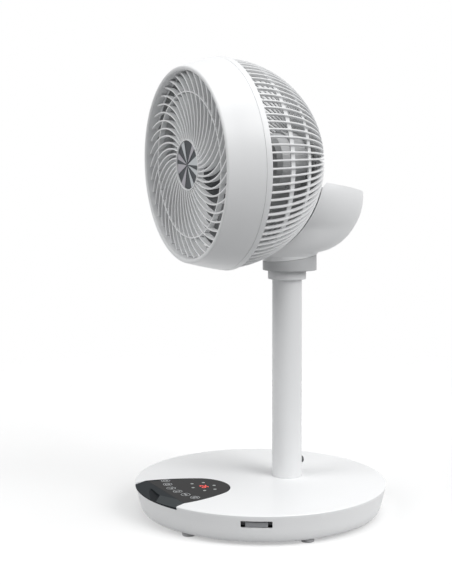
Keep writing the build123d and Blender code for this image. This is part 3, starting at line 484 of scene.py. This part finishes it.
# Painted shade and light: the scoop's floor takes the blacker finish, the patch beside it the lighter slate.
for face in panel_tray.data.polygons:
    if face.center.y < (band_start - 0.5) * mm and face.normal.z > parallel:
        if face.normal.y > leans_back:
            face.material_index = scoop_shade_slot
        elif face.center.x > patch_edge * mm and (face.center - patch_corner).dot(patch_way) < 0:
            face.material_index = lit_patch_slot
dress(finish_of("board_green", (0.02, 0.12, 0.06), 0.5, mottle=0.15, grain=700), "control_board")
dress(finish_of("display_epoxy", (0.06, 0.06, 0.06), 0.3), "display_module")

# Signs, lamps and digits are printed and lit on the lens, a little above its face.
ink_middle, ink_depth = 42.34, 0.06


def ink_line(start, end, width=0.8):
    """Printed straight stroke on the lens."""
    along = Vector(end) - Vector(start)
    middle = (Vector(end) + Vector(start)) / 2
    place = moved(middle.x, middle.y, ink_middle) @ Matrix.Rotation(atan2(along.y, along.x), 4, "Z")
    return block((along.length, width, ink_depth), place)


def ink_round(centre, radius, start=0, end=360, width=0.8):
    """Printed round stroke on the lens, between two angles."""
    low, high = (ink_middle - ink_depth / 2) * mm, (ink_middle + ink_depth / 2) * mm
    inner, outer = (radius - width / 2) * mm, (radius + width / 2) * mm
    section = [(inner, 0, low), (outer, 0, low), (outer, 0, high), (inner, 0, high)]
    form = swept(section, (0, 0, 0), (0, 0, 1), radians(end - start), steps=max(4, (end - start) // 12))
    return placed(form, moved(*centre, 0) @ Matrix.Rotation(radians(start), 4, "Z"))


def key_sign(sign):
    """Strokes of a sign, round the middle of its key."""
    if sign == "power":
        return [ink_round((0, 0), 2.9, 120, 420), ink_line((0, 0.8), (0, 3.9))]
    if sign == "clock":
        return [ink_round((0, 0), 3.2), ink_line((0, 0), (0, 2.2)), ink_line((0, 0), (1.7, 0))]
    if sign == "fan":
        return [ink_round((1.9 * cos(radians(turn)), 1.9 * sin(radians(turn))), 1.9, turn, turn + 200)
                for turn in (90, 210, 330)]
    if sign == "nod":
        return [ink_line((0, -3.4), (0, 3.4))] + [ink_line((way, end * 1.9), (0, end * 3.7))
                                                  for way in (-1.6, 1.6) for end in (-1, 1)]
    if sign == "swing":
        return [ink_line((-3.4, 0), (3.4, 0))] + [ink_line((end * 1.9, way), (end * 3.7, 0))
                                                  for way in (-1.6, 1.6) for end in (-1, 1)]
    return [ink_round((0, 0), 3.1, 40, 320), ink_round((2.1, 0), 2.4, 100, 260)]


key_ring = 6.2
key_spots = {"power": (-51.7, -126.4), "clock": (-32.6, -131.7), "fan": (-12.6, -135.3),
             "nod": (6.0, -133.9), "swing": (24.8, -130.5), "moon": (43.7, -125.1)}
marks = []
for sign, spot in key_spots.items():
    strokes = [ink_round((0, 0), key_ring, width=0.55)] + key_sign(sign)
    marks += [placed(stroke, moved(*spot, 0)) for stroke in strokes]
white_ink = finish_of("white_ink", (0.62, 0.64, 0.65), 0.5, mottle=0.05, grain=3000)
piece("key_symbols", gathered(marks), "stand", white_ink, "panel_lens")

lamp_spots = [(-17.9, -82.7), (-19.6, -99.6), (-0.9, -106.9), (19.1, -98.7), (2.1, -75.5), (19.9, -83.1)]
lamp_top = 42.36
lamp_outline = [(0, base_top), (2.3, base_top), (2.2, lamp_top), (0, lamp_top)]
dots = [placed(lathe(lamp_outline, steps=24), moved(*spot, 0)) for spot in lamp_spots]
lamp_glow = finish_of("lamp_glow", (0.34, 0.37, 0.36), 0.4)
piece("indicator_lamps", gathered(dots), "stand", lamp_glow, "panel_lens")

segment_ends = {"a": ((-1.9, 4.2), (1.9, 4.2)), "b": ((2.3, 3.9), (2.3, 0.3)),
                "c": ((2.3, -0.3), (2.3, -3.9)), "d": ((-1.9, -4.2), (1.9, -4.2)),
                "e": ((-2.3, -0.3), (-2.3, -3.9)), "f": ((-2.3, 3.9), (-2.3, 0.3)),
                "g": ((-1.9, 0), (1.9, 0))}
digit_row = -90.5
strokes = []
for middle, lit in ((-3.2, "abged"), (4.4, "acdefg")):
    strokes += [placed(ink_line(*segment_ends[name], width=1.5), moved(middle, digit_row, 0)) for name in lit]
red_glow = finish_of("red_glow", (0.5, 0.02, 0.015), 0.4)
glow = red_glow.node_tree.nodes["Principled BSDF"].inputs
glow["Emission Color"].default_value = (1, 0.06, 0.04, 1)
glow["Emission Strength"].default_value = 0.75
piece("display_digits", gathered(strokes), "stand", red_glow, "display_epoxy")

# ---- remote control ----------------------------------------------------------------------------
# A flat grey card with round corners, pushed into a dark pocket in the side of the base until only
# its end shows, with its two corners notched. Low rubber keys stand on its upper face.
dress(finish_of("pocket_black", (0.012, 0.012, 0.013), 0.6), "remote_sleeve")
dress(finish_of("key_rubber", (0.12, 0.12, 0.13), 0.7), "remote_keys")
remote_grey = finish_of("remote_grey", (0.26, 0.265, 0.275), 0.42, grain=1700)
card_length, card_width, card_end = 86, 39.8, 173.9
card = block((card_length, card_width, 7), moved(card_end - card_length / 2, 0, -0.8))
rounded(card, edges_along(card, up), width=9, segments=8)
sharp = 0.8
rims = [edge for edge in card.edges if len(edge.link_faces) == 2 and edge.calc_face_angle() > sharp]
rounded(card, rims, width=1.2, segments=3)
notch_size, notch_x, notch_y = (18, 11, 12), card_end - 0.5, 20.2
for side in (-1, 1):
    card = carve(card, block(notch_size, moved(notch_x, side * notch_y, 0)))
placed(card, slot_place)
piece("remote_card", card, "remote", remote_grey, "remote_grey", "remote_control")

# ---- power inlet -------------------------------------------------------------------------------
# A black low-voltage socket in the back of the base, snapped in from the outside. It takes the
# plug of an adapter's cord, which isn't part of the fan.
dress(finish_of("inlet_black", (0.015, 0.015, 0.016), 0.45), "dc_inlet")

# ---- pole --------------------------------------------------------------------------------------
# A straight white-painted aluminium tube that slides over a steel foot bolted into the base. A
# dark button in its back locks it, pushed out by a leaf of spring steel.
pole_white = finish_of("pole_white", (0.76, 0.765, 0.77), 0.4, mottle=0.01, grain=1300)
pole = placed(lathe([(21.6, 20.6), (21.6, 329.2), (19.6, 329.2), (19.6, 20.6)], steps=96), pole_place)
button_height = 62.8
button_place = moved(0, pole_y, button_height) @ Matrix.Rotation(radians(-90), 4, "X")
pole = carve(pole, placed(drum(5.4, low=10, high=30, steps=48), button_place))
piece("pole_tube", pole, "stand", pole_white, "pole_paint", "column_tube")
spigot_zinc = finish_of("spigot_zinc", (0.5, 0.51, 0.53), 0.4, metallic=1.0, stretch=(1, 1, 0.1))
dress(spigot_zinc, "column_spigot")
dress(finish_of("spring_steel", (0.35, 0.36, 0.4), 0.28, metallic=1.0), "snap_spring")
button_grey = finish_of("button_grey", (0.07, 0.072, 0.075), 0.42)
button_outline = [(0, 16.2), (6.6, 16.2), (6.6, 17.9), (5, 17.9), (5, 25.4), (4.6, 26.2), (3.7, 26.6),
                  (2.9, 26.3), (0, 26.1)]
lock_button = placed(lathe(button_outline, steps=48), button_place)
piece("lock_button", lock_button, "button", button_grey, "button_grey", "pole_button")


# ---- collars and swivel --------------------------------------------------------------------------
# Two stepped nylon collars under the neck, duller than the shells: the lower, white one is plugged
# into the pole and stays still, the upper one turns on it with the neck. It is the same white, painted
# light grey as painted shade from the bowl above.
def trim(form, point, normal, keep_upper=False, turn_out=True):
    """Cuts a closed shape off at a plane and closes the cut."""
    bmesh.ops.bisect_plane(form, geom=whole(form), plane_co=point, plane_no=normal,
                           clear_outer=not keep_upper, clear_inner=keep_upper)
    return closed_up(form, turn_out)


collar_white = finish_of("collar_white", (0.80, 0.805, 0.81), 0.46, mottle=0.015)
spindle_room, still_radius, still_low, still_high = 11.85, 27.9, 329.5, 342.1
still_collar = lathe([(spindle_room, 307.5), (19.3, 307.5), (19.3, still_low), (still_radius, still_low),
                      (still_radius, still_high), (spindle_room, still_high)], steps=96)
round_rings(still_collar, [(still_radius, still_low)], width=1.1)
round_rings(still_collar, [(still_radius, still_high)], width=0.4, segments=2)
placed(still_collar, pole_place)
piece("still_collar", still_collar, "stand", collar_white, "white_collar", "lower_collar")

# Painted shade: the upper collar's white is darkened to light grey where the bowl shades it.
neck_painted_shade = finish_of("neck_painted_shade", (0.50, 0.505, 0.51), 0.46, mottle=0.015)
neck_y, collar_radius, collar_inside, collar_low = 48.9, 39.4, 36.9, 342.4
turning_collar = lathe([(0, 345.3), (collar_inside, 345.3), (collar_inside, collar_low),
                        (collar_radius, collar_low), (collar_radius, 372), (collar_inside, 372),
                        (collar_inside, 348.8), (0, 348.8)], steps=128)
round_rings(turning_collar, [(collar_radius, collar_low)], width=0.9)
placed(turning_collar, moved(0, neck_y, 0))
front_height, back_height = 12.9, 23.9
slope = Vector((0, -(back_height - front_height) / (2 * collar_radius), 1))
slope_y, slope_z = neck_y - collar_radius, collar_low + front_height
trim(turning_collar, Vector((0, slope_y, slope_z)) * mm, slope, turn_out=False)
turning_collar = carve(turning_collar, placed(drum(spindle_room, low=330, high=360, steps=64), pole_place))
piece("turning_collar", turning_collar, "neck", neck_painted_shade, "white_neck", "upper_collar")
drive_acetal = finish_of("drive_acetal", (0.68, 0.66, 0.60), 0.38)
dress(drive_acetal, "swivel_gear", "swivel_pinion", "swivel_washer", "pivot_bushes")
turned_steel = finish_of("turned_steel", (0.58, 0.59, 0.61), 0.3, metallic=1.0, stretch=(1, 1, 25))
dress(turned_steel, "swivel_spindle", "spindle_ring", "pivot_pin", "motor_shaft")
motor_can = finish_of("motor_can", (0.33, 0.34, 0.35), 0.42, metallic=0.9, mottle=0.06, stretch=(1, 1, 6))
dress(motor_can, "swivel_motor", "tilt_motor")
dress(finish_of("bracket_steel", (0.42, 0.43, 0.44), 0.45, metallic=0.9, mottle=0.08), "pivot_bracket")

# ---- neck bowl -----------------------------------------------------------------------------------
# The white bowl that cradles the head: a ball shape drawn down into the collar, open at the top
# and at the front where the head's dome swings in it. One ABS moulding, 2.5 mm thick.
pivot = Vector(joints["head_tilt"]["pos_m"])
pivot_y, throat_radius, bowl_radius, bowl_wall = 77.6, 38.6, 83, 2.5
ball_foot, straight_front, bowl_reach = 82, 45, 40
dome_centre, rest_angle, tilt_travel = 152.1, 17.6, 85
sideways = Matrix.Rotation(pi / 2, 4, "Y")


def bowl_room(inset, stations=26):
    """Closed form of the bowl's ball and throat, drawn in by a wall's thickness."""
    drops = [96.5, 91, 86.5]
    drops += [ball_foot - (ball_foot + bowl_reach) * step / stations for step in range(stations + 1)]
    form = bmesh.new()
    rim = None
    for drop in drops:
        if drop > ball_foot:
            back, front = throat_radius + neck_y - pivot_y, throat_radius - neck_y + pivot_y
        else:
            back = sqrt(bowl_radius ** 2 - drop ** 2)
            front = sqrt(bowl_radius ** 2 - min(drop, straight_front) ** 2)
        radius = ((back + front) / 2 - inset) * mm
        middle = Vector((0, (back - front) / 2 * mm, -drop * mm)) + pivot
        if rim is None:
            rim = bmesh.ops.create_circle(form, cap_ends=True, segments=128, radius=radius,
                                          matrix=Matrix.Translation(middle))["verts"]
        else:
            edges = [edge for edge in form.edges if edge.verts[0] in rim and edge.verts[1] in rim]
            grown = bmesh.ops.extrude_edge_only(form, edges=edges)["geom"]
            rim = [item for item in grown if isinstance(item, bmesh.types.BMVert)]
            bmesh.ops.scale(form, vec=(radius / old_radius, radius / old_radius, 1), verts=rim,
                            space=Matrix.Translation(-old_middle))
            bmesh.ops.translate(form, vec=middle - old_middle, verts=rim)
        old_radius, old_middle = radius, middle
    return closed_up(form)


def dome_way(tilt):
    """Direction from the tilt axis to the dome's middle with the head tilted back by an angle."""
    angle = radians(rest_angle + tilt)
    return Vector((0, -cos(angle), sin(angle)))


def dome_spot(tilt):
    """Matrix that moves to the dome's middle with the head tilted back by an angle."""
    return Matrix.Translation(pivot + dome_way(tilt) * dome_centre * mm)


def dome_path(radius):
    """What a ball round the dome's middle fills as the head tilts through its whole travel."""
    shapes = []
    for tilt in (0, tilt_travel):
        ball = bmesh.new()
        bmesh.ops.create_uvsphere(ball, u_segments=112, v_segments=56, radius=radius * mm)
        shapes.append(placed(ball, dome_spot(tilt) @ sideways))
    disc = bmesh.new()
    bmesh.ops.create_circle(disc, cap_ends=False, segments=112, radius=radius * mm)
    across = Matrix((right, dome_way(0), right.cross(dome_way(0)))).transposed().to_4x4()
    placed(disc, dome_spot(0) @ across)
    bmesh.ops.spin(disc, geom=disc.verts[:] + disc.edges[:], cent=pivot, axis=(-1, 0, 0), dvec=(0, 0, 0),
                   angle=radians(tilt_travel), steps=20)
    return gathered(shapes + [closed_up(disc)])


bowl_white = finish_of("bowl_white", white_tone, 0.38, mottle=0.008)
rim_rise, rim_way = 16.8, Vector((0, 0.155, 1))
rim_point = pivot + up * (rim_rise * mm)
bowl = trim(carve(bowl_room(0), bowl_room(bowl_wall)), rim_point, rim_way)
bowl_foot = Vector((0, slope_y, slope_z + seat_gap)) * mm
bowl = trim(bowl, bowl_foot, slope, keep_upper=True, turn_out=False)
bowl = carve(bowl, dome_path(149.9), crossing=True)
piece("bowl_shell", bowl, "neck", bowl_white, "white_bowl", "neck_bowl", crease=28)

# ---- cradle liner --------------------------------------------------------------------------------
# A thin dished cover inside the bowl, moulded in the same white, that follows the dome's swing
# and hides the drive. It is notched for the tilt barrel and its two ears.
liner_white = finish_of("liner_white", (0.76, 0.765, 0.77), 0.5, mottle=0.012)
liner = trim(bowl_room(bowl_wall + seat_gap), rim_point, rim_way)
liner = carve(liner, dome_path(152.0), "INTERSECT", crossing=True)
liner = carve(liner, dome_path(150.6), crossing=True)
barrel_half = 62
barrel_room = drum(14.5, low=-barrel_half, high=barrel_half, steps=64)
liner = carve(liner, placed(barrel_room, Matrix.Translation(pivot) @ sideways))
ear_room, ear_x = (6, 30, 34), 64.5
for side in (-1, 1):
    liner = carve(liner, block(ear_room, Matrix.Translation(pivot) @ moved(side * ear_x, 0, 0)))
piece("cradle_dish", liner, "neck", liner_white, "white_liner", "cradle_liner")

# ---- front ring of the head -----------------------------------------------------------------------
# The deep white ring round the front of the head: a cone with a thick rounded lip, moulded in
# glossy white ABS and screwed to the rear guard from behind. Its short throat, the same white, is
# painted dull grey as painted shade.
forward = Vector(joints["impeller_spin"]["axis"])
head_place = Matrix.Translation(joints["impeller_spin"]["pos_m"]) @ Matrix(
    (right, forward.cross(right), forward)).transposed().to_4x4()


def on_head(form):
    """Puts a shape made on the fan's own axis, +Z forwards and +Y up, onto the head."""
    return placed(form, head_place)


ring_white = finish_of("ring_white", white_tone, 0.3, mottle=0.006, relief=0.00002)
throat_painted_shade = finish_of("throat_painted_shade", (0.34, 0.345, 0.35), 0.6, mottle=0.01)
lip_radius, lip_circle, lip_height = 3.4, 133.9, 52.6
lip_arc = [(lip_circle + lip_radius * cos(radians(angle)), lip_height + lip_radius * sin(radians(angle)))
           for angle in range(5, 181, 12)]
ring_outline = [(146.6, 6.2), (149.4, 6.2), (149.6, 6.5), (146.5, 20), (142.6, 35)] + lip_arc
ring_outline += [(130.2, 50.4), (130.0, 48.8), (130.0, 40.2), (130.0, 28.2), (131.4, 28.2),
                 (131.6, 49.6), (134.6, 51.4)]
front_ring = lathe(ring_outline, steps=240)
head_ring = piece("head_ring", on_head(front_ring), "head", ring_white, "white_ring", "front_ring", crease=40)
head_ring.data.materials.append(throat_painted_shade)
throat_wall, throat_front = 131.5, 40
# Painted shade: the throat's faces, deep inside the ring, take the dull grey.
for face in head_ring.data.polygons:
    middle = head_place.inverted() @ face.center
    if hypot(middle.x, middle.y) < throat_wall * mm and middle.z < throat_front * mm:
        face.material_index = 1

# ---- rear guard -----------------------------------------------------------------------------------
# The dome behind the head: 88 bars along its meridians, tied by two hoops, between the mounting
# ring and a round plate at the pole, with the smooth saddle over the tilt joint. White ABS.
guard_white = finish_of("guard_white", (0.80, 0.805, 0.81), 0.36, mottle=0.01)
mount_outline = [(148.4, 5.95), (149.5, 5.95), (149.8, 5.7), (151.0, -1.2), (150.9, -1.8), (150.4, -2.2),
                 (142.7, -2.2), (142.7, 3.3), (136, 3.3), (136, 6.0)]
mount = lathe(mount_outline, steps=240)
dome_radius, bar_depth, plate_radius = 148.7, 4.5, 40
bar_start, bar_end = asin(1.4 / dome_radius), pi / 2 - asin(plate_radius / dome_radius)
bar_outline = [(-bar_depth, -1.0), (-1.0, -1.3), (-0.3, -1.0), (0, -0.35), (0, 0.35), (-0.3, 1.0),
               (-1.0, 1.3), (-bar_depth, 1.0)]
bar_outline = [(dome_radius + depth, side) for depth, side in bar_outline]
bar_section = [Vector((radius * cos(bar_start), side, -radius * sin(bar_start))) * mm
               for radius, side in bar_outline]
bars = repeated(swept(bar_section, (0, 0, 0), (0, 1, 0), bar_end - bar_start, steps=22), count=88)
hoop_outside, hoop_inside, hoop_half = dome_radius - 3.2, dome_radius - 5.2, 3.75 / dome_radius
hoops = []
for behind in (15.6, 30.4):
    low, high = radians(behind) - hoop_half, radians(behind) + hoop_half
    corners = ((hoop_outside, low), (hoop_outside, high), (hoop_inside, high), (hoop_inside, low))
    hoops.append(lathe([(radius * cos(angle), -radius * sin(angle)) for radius, angle in corners], steps=176))


def ball_patch(direction, half_angle, outside=149.5, inside=143.0, lip=1.2, rings=14):
    """Round patch of a ball's skin, centred on a direction of the head's own axes."""
    angles = [radians(half_angle) * step / rings for step in range(rings + 1)]
    skin = [(outside * sin(angle), outside * cos(angle)) for angle in angles[:-1]]
    edge = angles[-1] + 0.001
    skin += [((outside - lip) * sin(edge), (outside - lip) * cos(edge))]
    skin += [(inside * sin(angle), inside * cos(angle)) for angle in reversed(angles)]
    return placed(lathe(skin, steps=96, closed=False),
                  Vector(direction).to_track_quat("Z", "Y").to_matrix().to_4x4())


pivot_on_head = head_place.inverted() @ pivot
barrel = placed(drum(13.5, low=-barrel_half, high=barrel_half, steps=64),
                Matrix.Translation(pivot_on_head) @ sideways)
saddle = carve(ball_patch(pivot_on_head, half_angle=24), barrel)
pole_plate = ball_patch((0, 0, -1), half_angle=16.4)
rear_guard = gathered([mount, bars, *hoops, saddle, pole_plate])
piece("rear_guard", on_head(rear_guard), "head", guard_white, "white_rear", "rear_grille", crease=35)

# ---- motor, yoke and tilt drive --------------------------------------------------------------------
# Inside the dome a grey nylon yoke carries the round motor and the barrel of the tilt joint; only
# glimpses of them show between the bars.
dress(finish_of("yoke_nylon", (0.50, 0.505, 0.51), 0.55), "tilt_yoke")
motor_cover = finish_of("fan_motor_cover", (0.56, 0.565, 0.57), 0.45, mottle=0.03, stretch=(1, 6, 1))
dress(motor_cover, "fan_motor")

# ---- impeller -------------------------------------------------------------------------------------
# Seven wide twisted blades on a cup-shaped hub, moulded in one in grey polypropylene and held on
# the motor's shaft by a grey nut.
# Painted shade: the blades' light grey is darkened, for the shade inside the head.
blade_grey = finish_of("blade_grey", (0.16, 0.165, 0.172), 0.4, mottle=0.01)
hub = lathe([(4.05, -2), (29.8, -2), (29.8, -30), (33, -30), (33, 14), (32.4, 17.4), (30.6, 20.4),
             (27.6, 22.8), (24, 24), (4.05, 24)], steps=96)
blade_root, blade_tip, root_chord, chord_growth = 31.5, 118, 46, 38
root_stagger, stagger_loss, camber = 46, 15, 6 / 84
tip_start, tip_cut = 0.80, 0.55
blade = bmesh.new()
bmesh.ops.create_grid(blade, x_segments=18, y_segments=16, size=1)
for vert in blade.verts:
    along, share = vert.co.x, (vert.co.y + 1) / 2
    radius = blade_root + (blade_tip - blade_root) * share
    past_start = max(0.0, (share - tip_start) / (1 - tip_start))
    chord = (root_chord + chord_growth * share) * sqrt(1 - past_start ** 2 * tip_cut)
    stagger = radians(root_stagger - stagger_loss * share)
    rise = camber * chord * (1 - along ** 2)
    across = along * chord / 2
    turn = (across * cos(stagger) + rise * sin(stagger)) / radius
    height = rise * cos(stagger) - across * sin(stagger)
    vert.co = Vector((radius * cos(turn), radius * sin(turn), height)) * mm
bmesh.ops.solidify(blade, geom=blade.faces[:], thickness=2.2 * mm)
bmesh.ops.recalc_face_normals(blade, faces=blade.faces)
fan_wheel = gathered([hub, repeated(blade, count=7)])
piece("fan_wheel", on_head(fan_wheel), "impeller", blade_grey, "blade_grey", "impeller")
dress(finish_of("nut_grey", (0.4, 0.41, 0.42), 0.45), "blade_nut")

# ---- front guard ----------------------------------------------------------------------------------
# 42 thin vanes that curve from the hub ring out to the rim, tied by one fine hoop: a single
# moulding in white ABS, pressed into the throat of the ring.
# Painted light: the vanes are given a whiter tone than the ring's same white, for their lit edges.
vane_grey = finish_of("vane_grey", (0.90, 0.905, 0.91), 0.34, mottle=0.01)
rim_hoop = lathe([(126.5, 39.8), (129.8, 39.8), (129.8, 41.0), (129.4, 41.4), (126.9, 41.4),
                  (126.5, 41.0)], steps=240)
fine_hoop = lathe([(100.75, 41), (102.45, 41), (102.45, 48.2), (102.1, 48.6), (101.1, 48.6),
                   (100.75, 48.2)], steps=240)
hub_ring = lathe([(0, 40), (35.8, 40), (35.8, 49.3), (35.4, 49.9), (34.3, 49.9), (33.9, 49.4),
                  (33.9, 41.2), (0, 41.2)], steps=128)
starts, passes, ends = ((radius * cos(radians(angle)), radius * sin(radians(angle)))
                        for radius, angle in ((33.9, 0.0), (78.0, 17.6), (129.4, 42.6)))
bend = circle_through(starts, passes, ends)
bend_radius = hypot(starts[0] - bend[0], starts[1] - bend[1])
bend_middle = Vector((*bend, 0))
away = (Vector((*starts, 0)) - bend_middle).normalized()
vane_outline = ((-0.5, 40), (-1.2, 48.0), (-1.0, 48.7), (-0.5, 49), (0.5, 49), (1.0, 48.7), (1.2, 48.0),
                (0.5, 40))
vane_section = [(bend_middle + away * (bend_radius + side) + up * height) * mm
                for side, height in vane_outline]
vane_turn = turn_between(bend, starts, ends)[1]
vanes = repeated(swept(vane_section, bend_middle * mm, up, vane_turn, steps=22), count=42)
front_guard = gathered([rim_hoop, fine_hoop, hub_ring, vanes])
piece("front_guard", on_head(front_guard), "head", vane_grey, "vane_grey", "front_grille", crease=40)

# ---- medallion ------------------------------------------------------------------------------------
# A round pressed-metal badge plate inside the hub ring. Eight wedges of silver and pearl on a slate
# ground are painted on it: a painted reflection of the light and dark sectors that its brushed metal
# shows, with the wedges as painted highlights. It bears no mark.
# Painted reflection: a dark ground and light wedges stand for the brushed metal's reflection.
badge_dark_reflection = finish_of("badge_dark_reflection", (0.042, 0.048, 0.054), 0.5, metallic=0.6, mottle=0.1, grain=600)
ray_painted_highlight = finish_of("ray_painted_highlight", (0.46, 0.485, 0.50), 0.4, metallic=0.6, mottle=0.06, grain=600)
ray_painted_pale_highlight = finish_of("ray_painted_pale_highlight", (0.35, 0.34, 0.37), 0.4, metallic=0.6, mottle=0.06, grain=600)
badge = lathe([(0, 41.5), (33.6, 41.5), (33.6, 48.0), (33.2, 48.4), (0, 48.4)], steps=96)
piece("badge_plate", on_head(badge), "head", badge_dark_reflection, "medallion_silver", "hub_medallion")
ray_foot, ray_thickness, ray_inner, ray_outer = 48.3, 0.6, 1.2, 33


def highlight_wedge(start, end):
    """Thin wedge of painted highlight on the badge, between two angles from its top towards the fan's right.
    """
    turns = [radians(90 - start - (end - start) * step / 4) for step in range(5)]
    spots = [(ray_inner, turns[2])] + [(ray_outer, turn) for turn in turns]
    corners = [Vector((radius * cos(turn), radius * sin(turn), ray_foot)) * mm for radius, turn in spots]
    return prism(corners, ray_thickness * mm)


bright_highlight_wedges = [highlight_wedge(-31, -12), highlight_wedge(69, 93), highlight_wedge(105, 119), highlight_wedge(145, 161)]
piece("badge_highlight_wedges", on_head(gathered(bright_highlight_wedges)), "head", ray_painted_highlight, "medallion_silver")
pale_highlight_wedges = [highlight_wedge(34, 49), highlight_wedge(199, 220), highlight_wedge(248, 274), highlight_wedge(286, 303)]
piece("badge_pale_highlight_wedges", on_head(gathered(pale_highlight_wedges)), "head", ray_painted_pale_highlight, "medallion_silver")
